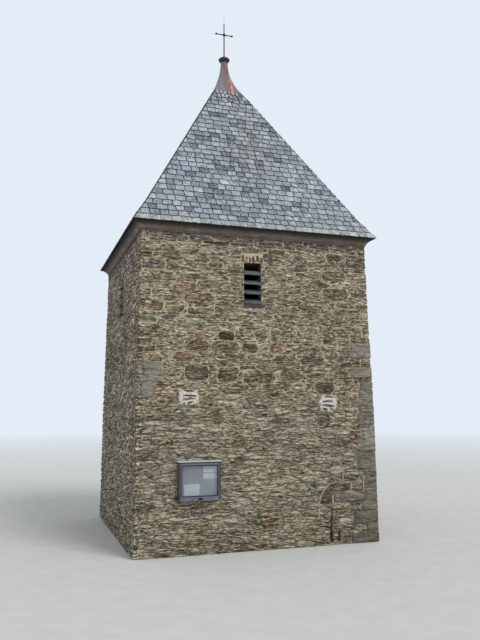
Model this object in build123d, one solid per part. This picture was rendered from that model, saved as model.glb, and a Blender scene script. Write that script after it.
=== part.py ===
"""Detached bell tower of a country church: a square, slightly battered rubble tower with dressed corner
blocks, a steep pyramid roof with a flatter foot, a flared metal cap, a plain iron cross and a glazed
notice case on the front wall.

Millimetres, +Z up. The origin is the middle of the base at ground level. The front wall faces -Y,
the left wall faces -X. Every piece is a closed solid in a file of its own.
"""

import math
import os

from build123d import *

# Tower masonry
base_half = 2500.0  # half the width of the outer faces at the ground
waist_z = 2720.0  # height where the batter of the upper stage begins
lower_batter = 22.0  # how far each face leans in between the ground and the waist
upper_batter = 56.0  # and between the waist and the wall head
head_z = 6150.0  # level top of the walls
wall_thickness = 850.0  # at the ground
ledge_width = 100.0  # inner ledge that carries the belfry floor
ledge_z = 4100.0

# Dressed corner blocks: foot, head, reach along the front wall, reach along the side wall
block_relief = 20.0  # how far they stand out of the rubble
right_blocks = (
    (0.0, 180.0, 580.0, 350.0), (190.0, 390.0, 240.0, 500.0), (400.0, 640.0, 520.0, 300.0),
    (650.0, 830.0, 330.0, 550.0), (840.0, 1020.0, 960.0, 300.0), (1030.0, 1460.0, 270.0, 500.0),
    (1470.0, 1800.0, 400.0, 300.0), (1810.0, 2360.0, 270.0, 450.0), (2370.0, 2600.0, 360.0, 280.0),
    (2610.0, 2740.0, 320.0, 500.0), (2750.0, 2870.0, 490.0, 300.0), (2880.0, 3080.0, 310.0, 460.0),
    (3090.0, 3250.0, 270.0, 400.0), (3340.0, 3550.0, 470.0, 280.0), (3750.0, 4060.0, 450.0, 260.0),
)
left_blocks = ((2930.0, 3215.0, 330.0, 300.0), (3225.0, 3605.0, 480.0, 360.0))

# Floors
flag_thickness = 100.0
joist_width = 110.0
joist_depth = 180.0
joist_count = 5
floorboard_thickness = 35.0

# Louvred bell openings, one in each wall
opening_width = 376.0
opening_height = 860.0
opening_below_head = 505.0  # from the wall head down to the top of the opening
opening_straight_depth = 260.0  # parallel jambs before the inner splay starts
opening_inner_width = 700.0
front_opening_shift = -145.0  # off the middle of the front wall
blade_count = 4
blade_pitch = 197.0
blade_length = 230.0
blade_thickness = 20.0
blade_slope = 30.0  # degrees below the level, towards the outside
blade_projection = 50.0  # how far the lower edge stands out of the wall
sill_thickness = 50.0
sill_projection = 25.0
sill_depth = 250.0

# Entrance in the back wall
door_half_width = 400.0
door_spring_z = 1350.0
door_arch_radius = 600.0
surround_width = 160.0
surround_depth = 250.0
surround_chamfer = 35.0
rear_arch_half_width = 520.0
rear_arch_head_z = 2180.0
leaf_lap = 45.0  # how far the leaf covers the back of the surround
leaf_thickness = 60.0
strap_length = 620.0
strap_width = 45.0
strap_thickness = 6.0
strap_heights = (420.0, 1230.0)
strap_gap = 4.0  # between the strap's end and the surround
ring_radius = 60.0
ring_bar = 13.0  # thickness of its square bar
ring_sides = 24
ring_inset = 140.0  # from the surround to the middle of the ring
ring_z = 900.0

# Roof
eaves_overhang = 195.0  # tip of the bottom course of slates beyond the wall head
cornice_height = 168.0
roof_rise = 4611.0  # from the eaves to where the four slopes would meet
sprocket_rise = 480.0  # the slopes are flatter up to this height over the eaves
sprocket_run = 312.0  # and come in by this much there
roof_thickness = 70.0  # boarding, battens and slates, square to the upper slope

# Coved cornice under the eaves
cove_bearing = 95.0  # how far the cornice sits back over the wall
cove_bead = 24.0  # height of the bead along its lower edge
cove_bead_projection = 16.0
cove_rise_sag = 14.0  # hollow of the cove
cove_lip = 20.0  # upright face just under the slates
cove_back_from_tip = 54.0  # slates overhang the cornice by this much

# Cap, knob and cross
cap_height = 905.0
cap_above_apex = 306.0  # top of the cap over the point where the slopes would meet
cap_skirt_gap = 6.0  # thickness of the skirt over the slates, measured level
cap_skirt_lap = 70.0  # how far the slopes run up inside the skirt
cap_neck_radius = 86.0
cap_bands = 10
knob_radius = 139.0
knob_under_height = 77.0
knob_dome_height = 82.0
knob_boss_radius = 24.0
round_steps = 5  # steps in each quarter of a turned outline
round_sides = 24  # flats round a turned piece
cross_rod_radius = 14.0
cross_height = 886.0
cross_arm_rise = 596.0  # above the knob
cross_arm_radius = 12.0
cross_arm_half_span = 205.0
cross_ball_radius = 26.0
spike_radius = 6.0
spike_length = 240.0
spike_sides = 6
spike_taper = 1.2  # degrees

# Notice case on the front wall
case_centre_x = -1285.0
case_width = 810.0
case_bottom_z = 1003.0
case_height = 711.0  # up to the underside of the hood
case_depth = 105.0
case_cheek = 32.0
case_plate = 18.0
case_back = 10.0
case_plate_setback = 10.0  # top and bottom plates stop this far behind the closed door
batten_standoff = 30.0  # clear gap between the wall and the back of the case
batten_height = 60.0
batten_inset = 110.0
pinboard_thickness = 9.0
hood_overhang_side = 18.0
hood_overhang_front = 20.0
hood_back_height = 25.0
hood_front_height = 18.0
door_clearance = 5.0
case_door_thickness = 25.0
case_door_stile = 12.0
case_door_top_rail = 35.0
case_door_bottom_rail = 74.0
case_door_hinge_drop = 12.0  # from the top of the case door down to its hinge line
hinge_below_hood = 35.0
hinge_pin_radius = 4.0
hinge_pin_clearance = 0.1
glass_thickness = 4.0
glass_rebate = 6.0
lock_width = 86.0
lock_height = 42.0
lock_proud = 5.0
lock_offset = 10.0  # right of the door's middle
lock_rise = 32.0  # middle of the lock above the foot of the door
key_barrel_radius = 10.0
key_barrel_proud = 4.0
key_barrel_offset = -142.0  # and its middle left of it

# Worked out from the sizes above
waist_half = base_half - lower_batter
head_half = waist_half - upper_batter
lower_inner_half = base_half - wall_thickness  # half the clear width of the ground room
upper_inner_half = lower_inner_half + ledge_width  # and of the bell chamber
opening_sill_z = head_z - opening_below_head - opening_height
eave_half = head_half + eaves_overhang
eave_z = head_z + cornice_height
apex_z = eave_z + roof_rise
sprocket_half = eave_half - sprocket_run
sprocket_z = eave_z + sprocket_rise
cap_neck_z = apex_z + cap_above_apex
cap_skirt_z = cap_neck_z - cap_height
roof_top_z = cap_skirt_z + cap_skirt_lap
knob_waist_z = cap_neck_z + knob_under_height
knob_top_z = knob_waist_z + knob_dome_height
cross_top_z = knob_top_z + cross_height
cross_arm_z = knob_top_z + cross_arm_rise
reach = 2 * base_half  # a cut this long passes through any wall

ANGLES = {"front": 0.0, "right": 90.0, "back": 180.0, "left": -90.0}


def box_between(low, high):
    """A box from its lowest to its highest corner."""
    size = [h - l for l, h in zip(low, high)]
    middle = [(h + l) / 2 for l, h in zip(low, high)]
    return Pos(*middle) * Box(*size)


def turned(shape, side):
    """A piece made for the front, turned round the tower's axis to another side."""
    return Rot(0, 0, ANGLES[side]) * shape


def front_run(profile):
    """A section, given as (distance from the axis, height), run along the front, mitred at the corners."""
    face = Plane(origin=(0, 0, 0), x_dir=(0, -1, 0), z_dir=(-1, 0, 0)) * make_face(profile)
    bar = extrude(face, amount=reach, both=True)
    wedge = extrude(make_face(Polyline((0, 0), (-reach, -reach), (reach, -reach), close=True)), amount=apex_z)
    return bar & wedge


def outer_half(z):
    """Half the tower's outer width at a height."""
    if z < waist_z:
        return base_half + (waist_half - base_half) * z / waist_z
    return waist_half + (head_half - waist_half) * (z - waist_z) / (head_z - waist_z)


def roof_half(z):
    """Half the width of the slated pyramid at a height, on the line of its upper slopes."""
    return sprocket_half * (apex_z - z) / (apex_z - sprocket_z)


# Masonry

def tower_mass():
    """The solid outer form of both stages."""
    lower_taper = math.degrees(math.atan2(base_half - waist_half, waist_z))
    upper_taper = math.degrees(math.atan2(waist_half - head_half, head_z - waist_z))
    lower = extrude(Rectangle(2 * base_half, 2 * base_half), amount=waist_z, taper=lower_taper)
    upper_foot = Pos(0, 0, waist_z) * Rectangle(2 * waist_half, 2 * waist_half)
    return lower + extrude(upper_foot, amount=head_z - waist_z, taper=upper_taper)


def bell_opening(shift=0.0):
    """The hole through the front wall for a louvred opening, splayed inside, with room for its sill."""
    half, inner_half = opening_width / 2, opening_inner_width / 2
    straight_y = -(outer_half(opening_sill_z) - opening_straight_depth)
    plan = Polyline(
        (-half, -reach), (half, -reach), (half, straight_y), (inner_half, -upper_inner_half),
        (inner_half, 0), (-inner_half, 0), (-inner_half, -upper_inner_half), (-half, straight_y), close=True)
    hole = extrude(Pos(0, 0, opening_sill_z) * make_face(plan), amount=opening_height)
    sill_bed = box_between((-half, -reach, opening_sill_z - sill_thickness),
                           (half, -outer_half(opening_sill_z) - sill_projection + sill_depth, opening_sill_z))
    return Pos(shift, 0, 0) * (hole + sill_bed)


def pointed_arch(half_width, radius, spring_z):
    """The outline of a two-centred arch on straight jambs, in the plane of a wall."""
    centre_x = radius - half_width
    crown = spring_z + math.sqrt(radius ** 2 - centre_x ** 2)
    half_angle = math.acos(centre_x / radius) / 2
    bend_x = radius * math.cos(half_angle) - centre_x
    bend_z = spring_z + radius * math.sin(half_angle)
    outline = [
        Line((-half_width, 0), (half_width, 0)),
        Line((half_width, 0), (half_width, spring_z)),
        ThreePointArc((half_width, spring_z), (bend_x, bend_z), (0, crown)),
        ThreePointArc((0, crown), (-bend_x, bend_z), (-half_width, spring_z)),
        Line((-half_width, spring_z), (-half_width, 0)),
    ]
    return make_face(outline)


def arch_block(grow, near, far):
    """A pointed-arch prism through the front wall, from one distance from the axis to another."""
    face = pointed_arch(door_half_width + grow, door_arch_radius + grow, door_spring_z)
    return extrude(Plane(origin=(0, -near, 0), x_dir=(1, 0, 0), z_dir=(0, -1, 0)) * face, amount=far - near)


def door_hole():
    """The doorway, made for the front: the bed of the stone surround and the wider rear arch."""
    bed = arch_block(surround_width, base_half - surround_depth, reach)
    rear = box_between((-rear_arch_half_width, -(base_half - surround_depth), 0),
                       (rear_arch_half_width, 0, rear_arch_head_z))
    return bed + rear


def corner_blocks():
    """The dressed blocks that wrap the two ends of the front wall."""
    blocks = Part()
    for end, layers in ((1, right_blocks), (-1, left_blocks)):
        for foot, head, front_reach, side_reach in layers:
            face = outer_half((foot + head) / 2)
            ends = sorted((end * (face - front_reach), end * (face + block_relief)))
            blocks += box_between((ends[0], -face - block_relief, foot), (ends[1], -face + side_reach, head))
    return blocks


def make_walls():
    mass = tower_mass()
    between = (lower_inner_half, upper_inner_half)
    levels = ((0, ledge_z), (ledge_z, head_z))
    front = Part()
    side = Part()
    for inner, (low, high) in zip(between, levels):
        front += box_between((-reach, -reach, low), (reach, -inner, high))
        side += box_between((-inner, -reach, low), (inner, -inner, high))
    long_wall, short_wall = mass & front, mass & side
    return {
        "front_wall": long_wall - bell_opening(front_opening_shift) + corner_blocks(),
        "back_wall": turned(long_wall - bell_opening() - door_hole(), "back"),
        "left_wall": turned(short_wall - bell_opening(), "left"),
        "right_wall": turned(short_wall - bell_opening(), "right"),
    }


def make_floors():
    room = box_between((-lower_inner_half, -lower_inner_half, 0), (lower_inner_half, lower_inner_half, flag_thickness))
    passage = box_between((-rear_arch_half_width, lower_inner_half, 0),
                          (rear_arch_half_width, base_half - surround_depth, flag_thickness))
    flags = room + passage
    joist_span = 2 * upper_inner_half
    joist_gap = 2 * (upper_inner_half - joist_width) / (joist_count - 1)
    joist = Pos(0, 0, ledge_z + joist_depth / 2) * Box(joist_width, joist_span, joist_depth)
    joists = [Pos((i - (joist_count - 1) / 2) * joist_gap, 0, 0) * joist for i in range(joist_count)]
    boards_z = ledge_z + joist_depth
    boards = box_between((-upper_inner_half, -upper_inner_half, boards_z),
                         (upper_inner_half, upper_inner_half, boards_z + floorboard_thickness))
    return {"ground_floor": flags, "belfry_joists": Compound(joists), "belfry_floor": boards}


# Louvres and sills

def louvre_blades(shift):
    """Sloping slate blades between the jambs of the front opening, lower edges standing out of the wall."""
    angle = math.radians(blade_slope)
    blades = []
    for i in range(blade_count):
        lower_z = opening_sill_z + blade_pitch * i + blade_thickness * math.cos(angle) / 2
        lower_y = -(outer_half(lower_z) + blade_projection)
        middle = (shift, lower_y + blade_length * math.cos(angle) / 2, lower_z + blade_length * math.sin(angle) / 2)
        blades.append(Pos(*middle) * Rot(blade_slope, 0, 0) * Box(opening_width, blade_length, blade_thickness))
    return Compound(blades)


def sill(shift):
    front_y = -outer_half(opening_sill_z) - sill_projection
    return box_between((shift - opening_width / 2, front_y, opening_sill_z - sill_thickness),
                       (shift + opening_width / 2, front_y + sill_depth, opening_sill_z))


def make_openings():
    pieces = {}
    for side in ANGLES:
        shift = front_opening_shift if side == "front" else 0.0
        pieces[side + "_louvres"] = turned(louvre_blades(shift), side)
        pieces[side + "_sill"] = turned(sill(shift), side)
    return pieces


# Entrance

def make_entrance():
    face_d = outer_half(door_spring_z)
    back_d = base_half - surround_depth
    surround = arch_block(surround_width, back_d, face_d) - arch_block(0, back_d - 1, face_d + 1)
    front_edges = surround.edges().filter_by(lambda e: abs(e.center().Y + face_d) < 0.01)
    opening_edges = [e for e in front_edges if abs(e.center().X) < door_half_width + 1 and e.center().Z > 1]
    arch_limit = door_spring_z + door_arch_radius
    opening_edges = [e for e in opening_edges if e.center().Z < arch_limit]
    surround = chamfer(opening_edges, surround_chamfer)
    leaf_back = back_d - leaf_thickness
    leaf = arch_block(leaf_lap, leaf_back, back_d) & box_between((-reach, -reach, flag_thickness), (reach, 0, reach))
    step = box_between((-door_half_width, -face_d, 0), (door_half_width, -back_d, flag_thickness))
    front_of_leaf = back_d
    straps = [
        box_between((-door_half_width + strap_gap, -front_of_leaf - strap_thickness, z - strap_width / 2),
                    (-door_half_width + strap_length, -front_of_leaf, z + strap_width / 2))
        for z in strap_heights
    ]
    hoop = RegularPolygon(ring_radius + ring_bar / 2, ring_sides)
    hoop -= RegularPolygon(ring_radius - ring_bar / 2, ring_sides)
    ring = Pos(door_half_width - ring_inset, -front_of_leaf, ring_z) * Rot(90, 0, 0) * extrude(hoop, amount=ring_bar)
    return {
        "door_surround": turned(surround, "back"),
        "entrance_door": turned(leaf, "back"),
        "entrance_step": turned(step, "back"),
        "door_straps": turned(Compound(straps), "back"),
        "door_ring": turned(ring, "back"),
    }


# Roof

def roof_slope():
    """One slope, with a wedge of sprockets along its foot that flattens the lowest courses."""
    inward = roof_thickness / math.sin(math.atan2(apex_z - sprocket_z, sprocket_half))
    top_half = roof_half(roof_top_z)
    section = Polyline((eave_half, eave_z), (sprocket_half, sprocket_z), (top_half, roof_top_z),
                       (top_half - inward, roof_top_z), (roof_half(eave_z) - inward, eave_z), close=True)
    return front_run(section)


def cornice():
    """Coved cornice: a bead on the wall head, a hollow rising outwards and an upright lip."""
    tip = eave_half - cove_back_from_tip
    bead_d = head_half + cove_bead_projection
    bead_z = head_z + cove_bead
    lip_z = eave_z - cove_lip
    middle = ((bead_d + tip) / 2, (bead_z + lip_z) / 2)
    chord = math.hypot(tip - bead_d, lip_z - bead_z)
    hollow = (middle[0] - cove_rise_sag * (lip_z - bead_z) / chord, middle[1] + cove_rise_sag * (tip - bead_d) / chord)
    back_d = head_half - cove_bearing
    section = [
        Line((back_d, head_z), (bead_d, head_z)),
        Line((bead_d, head_z), (bead_d, bead_z)),
        ThreePointArc((bead_d, bead_z), hollow, (tip, lip_z)),
        Polyline((tip, lip_z), (tip, eave_z), (back_d, eave_z), (back_d, head_z)),
    ]
    return front_run(section)


def make_roof():
    pieces = {}
    slope, cove = roof_slope(), cornice()
    for side in ANGLES:
        pieces["roof_slope_" + side] = turned(slope, side)
        pieces["eaves_cove_" + side] = turned(cove, side)
    return pieces


# Cap, knob and cross

def stacked(outline, section):
    """Frusta stacked on each other. The outline gives (half width, height) pairs from the foot up."""
    solid = Part()
    for (low_half, low_z), (high_half, high_z) in zip(outline, outline[1:]):
        taper = math.degrees(math.atan2(low_half - high_half, high_z - low_z))
        solid += Pos(0, 0, low_z) * extrude(section(low_half), amount=high_z - low_z, taper=taper)
    return solid


def square_section(half):
    return Rectangle(2 * half, 2 * half)


def round_section(half):
    return RegularPolygon(half, round_sides, major_radius=False)


def quarter(centre, start, end):
    """Points on a quarter of an ellipse, given by its centre and the two ends of the quarter."""
    points = []
    for i in range(round_steps + 1):
        turn = math.pi / 2 * i / round_steps
        points.append(tuple(c + (a - c) * math.cos(turn) + (b - c) * math.sin(turn)
                            for c, a, b in zip(centre, start, end)))
    return points


def make_cap():
    """Flared cap. A square flare leaves the line of the slopes, and a rounder one trims its corners to the neck."""
    skirt_half = roof_half(cap_skirt_z) + cap_skirt_gap
    square_outline, round_outline = [], []
    for i in range(cap_bands + 1):
        rise = i / cap_bands
        z = cap_skirt_z + cap_height * rise
        half = cap_neck_radius + (skirt_half - cap_neck_radius) * (1 - rise) ** 2
        corner = math.sqrt(2) - (math.sqrt(2) - 1) * math.sin(rise * math.pi / 2)
        square_outline.append((half, z))
        round_outline.append((half * corner, z))
    cap = stacked(square_outline, square_section) & stacked(round_outline, round_section)
    slopes = [(roof_half(z), z) for z in (cap_skirt_z, roof_top_z)]
    return cap - stacked(slopes, square_section)


def make_knob():
    """Mushroom knob: an undercut swelling out of the neck and a dome over it."""
    swell = quarter((cap_neck_radius, knob_waist_z), (cap_neck_radius, cap_neck_z), (knob_radius, knob_waist_z))
    dome = quarter((knob_boss_radius, knob_waist_z), (knob_radius, knob_waist_z), (knob_boss_radius, knob_top_z))
    return stacked(swell + dome[1:], round_section)


def make_finial():
    upright = Pos(0, 0, knob_top_z + cross_height / 2) * Cylinder(cross_rod_radius, cross_height)
    lower = quarter((cross_arm_radius, 0), (cross_arm_radius, -cross_ball_radius), (cross_ball_radius, 0))
    upper = quarter((cross_arm_radius, 0), (cross_ball_radius, 0), (cross_arm_radius, cross_ball_radius))
    ball = stacked(lower + upper[1:], round_section)
    arm = extrude(round_section(cross_arm_radius), amount=cross_arm_half_span, both=True)
    arm += Pos(0, 0, cross_arm_half_span) * ball
    arm += Pos(0, 0, -cross_arm_half_span) * ball
    arms = Pos(0, 0, cross_arm_z) * Rot(0, 90, 0) * arm - upright
    spike = extrude(RegularPolygon(spike_radius, spike_sides), amount=spike_length, taper=spike_taper)
    return {
        "copper_cap": make_cap(),
        "finial_knob": make_knob(),
        "cross_upright": upright,
        "cross_arms": arms,
        "cross_spike": Pos(0, 0, cross_top_z) * spike,
    }


# Notice case. Distances "out" are measured outwards from the wall face at the foot of the case.

case_top_z = case_bottom_z + case_height
case_wall_d = outer_half(case_bottom_z)
case_front_out = batten_standoff + case_depth
leaf_out = case_front_out - case_door_thickness
hinge_z = case_top_z - hinge_below_hood
leaf_top_z = hinge_z + case_door_hinge_drop
hinge_out = leaf_out + case_door_thickness / 2


def case_box(half_low, half_high, out_low, out_high, z_low, z_high):
    """A box on the front wall, placed from the case's middle line and the wall face."""
    return box_between((case_centre_x + half_low, -case_wall_d - out_high, z_low),
                       (case_centre_x + half_high, -case_wall_d - out_low, z_high))


def make_notice_case():
    half = case_width / 2
    inside = half - case_cheek
    pin_hole = Pos(case_centre_x, -case_wall_d - hinge_out, hinge_z) * Rot(0, 90, 0) * Cylinder(
        hinge_pin_radius + hinge_pin_clearance, 2 * half + 2)
    battens = [
        case_box(-inside, inside, -base_half + waist_half, batten_standoff, z - batten_height / 2, z + batten_height / 2)
        for z in (case_bottom_z + batten_inset, case_top_z - batten_inset)
    ]
    battens = Compound([batten - tower_mass() for batten in battens])
    hood_out = case_front_out + hood_overhang_front
    hood_side = Plane(origin=(case_centre_x, -case_wall_d, case_top_z), x_dir=(0, -1, 0), z_dir=(-1, 0, 0))
    hood_outline = Polyline((batten_standoff, 0), (hood_out, 0), (hood_out, hood_front_height),
                            (batten_standoff, hood_back_height), close=True)
    hood = extrude(hood_side * make_face(hood_outline), amount=half + hood_overhang_side, both=True)
    back_front = batten_standoff + case_back
    plate_front = leaf_out - case_plate_setback
    return {
        "notice_battens": battens,
        "notice_back": case_box(-inside, inside, batten_standoff, back_front, case_bottom_z, case_top_z - case_plate),
        "notice_cheek_left": case_box(-half, -inside, batten_standoff, case_front_out, case_bottom_z, case_top_z)
        - pin_hole,
        "notice_cheek_right": case_box(inside, half, batten_standoff, case_front_out, case_bottom_z, case_top_z)
        - pin_hole,
        "notice_top": case_box(-inside, inside, batten_standoff, plate_front, case_top_z - case_plate, case_top_z),
        "notice_bottom": case_box(-inside, inside, back_front, plate_front, case_bottom_z, case_bottom_z + case_plate),
        "notice_pinboard": case_box(-inside, inside, back_front, back_front + pinboard_thickness,
                                    case_bottom_z + case_plate, case_top_z - case_plate),
        "notice_hood": hood,
    }


def make_notice_door():
    half = case_width / 2 - case_cheek - door_clearance
    bottom_z = case_bottom_z
    leaf = case_box(-half, half, leaf_out, case_front_out, bottom_z, leaf_top_z)
    sight_half = half - case_door_stile
    sight_low, sight_high = bottom_z + case_door_bottom_rail, leaf_top_z - case_door_top_rail
    sight = case_box(-sight_half, sight_half, leaf_out - 1, case_front_out + 1, sight_low, sight_high)
    pane = case_box(-sight_half - glass_rebate, sight_half + glass_rebate, leaf_out, leaf_out + glass_thickness,
                    sight_low - glass_rebate, sight_high + glass_rebate)
    pin_end = case_width / 2 - door_clearance
    pins = []
    for end in (-1, 1):
        middle_x = case_centre_x + end * (half + pin_end) / 2
        pin = Rot(0, 90, 0) * Cylinder(hinge_pin_radius, pin_end - half)
        pins.append(Pos(middle_x, -case_wall_d - hinge_out, hinge_z) * pin)
    lock_z = bottom_z + lock_rise
    plate = case_box(lock_offset - lock_width / 2, lock_offset + lock_width / 2, case_front_out,
                     case_front_out + lock_proud, lock_z - lock_height / 2, lock_z + lock_height / 2)
    barrel_y = -case_wall_d - case_front_out - key_barrel_proud / 2
    barrel = Rot(90, 0, 0) * Cylinder(key_barrel_radius, key_barrel_proud)
    barrel = Pos(case_centre_x + key_barrel_offset, barrel_y, lock_z) * barrel
    return {
        "notice_door_frame": leaf - sight - pane,
        "notice_glass": pane,
        "notice_hinge_pins": Compound(pins),
        "notice_lock": Compound([plate, barrel]),
    }


def main():
    pieces = {}
    for make in (make_walls, make_floors, make_openings, make_entrance, make_roof, make_finial,
                 make_notice_case, make_notice_door):
        pieces.update(make())
    os.makedirs("parts", exist_ok=True)
    for name, piece in pieces.items():
        export_step(piece, f"parts/{name}.step")


main()
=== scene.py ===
"""Looks for the detached bell tower: rubble walls, slate roof, copper cap and cross, louvres, notice case."""

import math
import random

import bpy
from mathutils import Matrix, Vector, noise


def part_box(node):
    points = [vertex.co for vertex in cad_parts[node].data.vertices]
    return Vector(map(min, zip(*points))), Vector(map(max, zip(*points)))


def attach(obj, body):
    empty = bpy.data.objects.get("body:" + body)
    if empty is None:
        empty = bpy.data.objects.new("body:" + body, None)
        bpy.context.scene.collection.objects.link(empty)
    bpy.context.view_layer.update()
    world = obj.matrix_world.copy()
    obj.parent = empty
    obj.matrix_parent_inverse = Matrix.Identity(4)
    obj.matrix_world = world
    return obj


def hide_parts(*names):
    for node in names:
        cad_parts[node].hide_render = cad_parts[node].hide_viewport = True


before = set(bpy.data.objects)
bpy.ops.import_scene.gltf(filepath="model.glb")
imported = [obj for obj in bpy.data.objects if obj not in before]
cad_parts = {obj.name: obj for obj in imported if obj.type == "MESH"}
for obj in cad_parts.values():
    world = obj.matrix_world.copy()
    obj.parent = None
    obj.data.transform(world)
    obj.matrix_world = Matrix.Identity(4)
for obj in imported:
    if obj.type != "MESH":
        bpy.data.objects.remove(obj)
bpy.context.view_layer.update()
noise.seed_set(1)  # vector noise starts from the clock without it

LOW, HIGH = range(2)
X, Y, Z = range(3)


def side_of(node, corner, axis):
    """Where a side of a CAD node's box lies, in metres."""
    return round(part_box(node)[corner][axis], 4)


# Walls
BASE_HALF = side_of("back_wall", HIGH, Y)  # half the width of the outer faces at the ground
WAIST_Z = 2.72  # where the batter of the upper stage begins
HEAD_Z = side_of("back_wall", HIGH, Z)
WAIST_HALF = round(BASE_HALF - 0.022, 4)
HEAD_HALF = round(WAIST_HALF - 0.056, 4)
# Roof slopes, which are flatter from the eaves up to a kink
EAVE_HALF = side_of("roof_slope_front", HIGH, X)
EAVE_Z = side_of("roof_slope_front", LOW, Z)
KINK_HALF = round(EAVE_HALF - 0.312, 4)
KINK_Z = round(EAVE_Z + 0.480, 4)
APEX_Z = round(EAVE_Z + 4.611, 4)
FOOT_LENGTH = math.hypot(EAVE_HALF - KINK_HALF, KINK_Z - EAVE_Z)
UPPER_LENGTH = math.hypot(KINK_HALF, APEX_Z - KINK_Z)
# Cap
CAP_Z = side_of("copper_cap", LOW, Z)
CAP_HALF = side_of("copper_cap", HIGH, X)
NECK_Z = side_of("copper_cap", HIGH, Z)
NECK_RADIUS = 0.086
CAP_HEIGHT = round(NECK_Z - CAP_Z, 4)
# Bell openings
FRONT, RIGHT, BACK, LEFT = range(4)
SIDES = ("front", "right", "back", "left")
SILL_Z = side_of("back_sill", HIGH, Z)
OPENING_HALF = side_of("back_sill", HIGH, X)
LOUVRE_HEAD_Z = round(SILL_Z + 0.86, 4)
OPENING_SHIFT = (round(side_of("front_sill", LOW, X) + OPENING_HALF, 4), 0.0, 0.0, 0.0)
# Back door: half its width, the radius and centres of its pointed arch, and the stone surround round it
DOOR_HALF, DOOR_SPRING_Z, DOOR_RADIUS, DOOR_CENTRE = 0.4, 1.35, 0.6, 0.2
DOOR_FACE = side_of("entrance_door", HIGH, Y)
SURROUND = 0.16


def paint(red, green, blue):
    """A colour as 0-255 values to the linear values that shaders take."""
    return tuple(v / 3294.6 if v <= 10 else ((v / 255 + 0.055) / 1.055) ** 2.4 for v in (red, green, blue))


def paints(*colours):
    return [paint(*colour) for colour in colours]


def scaled(colour, level):
    return tuple(c * level for c in colour)


def blended(share, a, b):
    """A colour part of the way from one to another."""
    return tuple(c * (1 - share) + d * share for c, d in zip(a, b))


def unit(value):
    """A value kept between 0 and 1."""
    return min(1.0, max(0.0, value))


def vary(colour, rng, amount=0.12, hue=0.03):
    """A colour made a little lighter or darker, warmer or cooler."""
    level = 1 + rng.uniform(-amount, amount)
    warm = rng.uniform(-hue, hue)
    return (colour[0] * level * (1 + warm), colour[1] * level, colour[2] * level * (1 - warm))


def outer_half(z):
    """Distance of the wall face from the tower's axis at a height."""
    if z < WAIST_Z:
        return BASE_HALF + (WAIST_HALF - BASE_HALF) * z / WAIST_Z
    return WAIST_HALF + (HEAD_HALF - WAIST_HALF) * (z - WAIST_Z) / (HEAD_Z - WAIST_Z)


def turn(side, x, y, z):
    """A point made for the front, turned to another side."""
    return ((x, y, z), (-y, x, z), (-x, -y, z), (y, -x, z))[side]


def sunk(z):
    """Depth of the mortar behind the stone faces, deeper where the lower wall is worn."""
    return 0.014 if z < WAIST_Z else 0.014 - 0.007 * (z - WAIST_Z) / (HEAD_Z - WAIST_Z)


def on_face(side, u, out, z):
    """A point on a wall: u to the viewer's right, out of the mortar, up."""
    return turn(side, u, -(outer_half(z) - sunk(z) + out), z)


def slope_at(t):
    """Half width, height, and the steps in and up, at a distance up the slope, which has a flatter foot."""
    if t < FOOT_LENGTH:
        level, up = (EAVE_HALF - KINK_HALF) / FOOT_LENGTH, (KINK_Z - EAVE_Z) / FOOT_LENGTH
        return EAVE_HALF - t * level, EAVE_Z + t * up, level, up
    t -= FOOT_LENGTH
    level, up = KINK_HALF / UPPER_LENGTH, (APEX_Z - KINK_Z) / UPPER_LENGTH
    return KINK_HALF - t * level, KINK_Z + t * up, level, up


def on_slope(side, x, t, lift):
    """A point on a roof slope: x along the eaves, t up the slope, lift off the slope."""
    half, z, level, up = slope_at(t)
    return turn(side, x, -half - lift * up, z + lift * level)


# Materials

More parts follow.
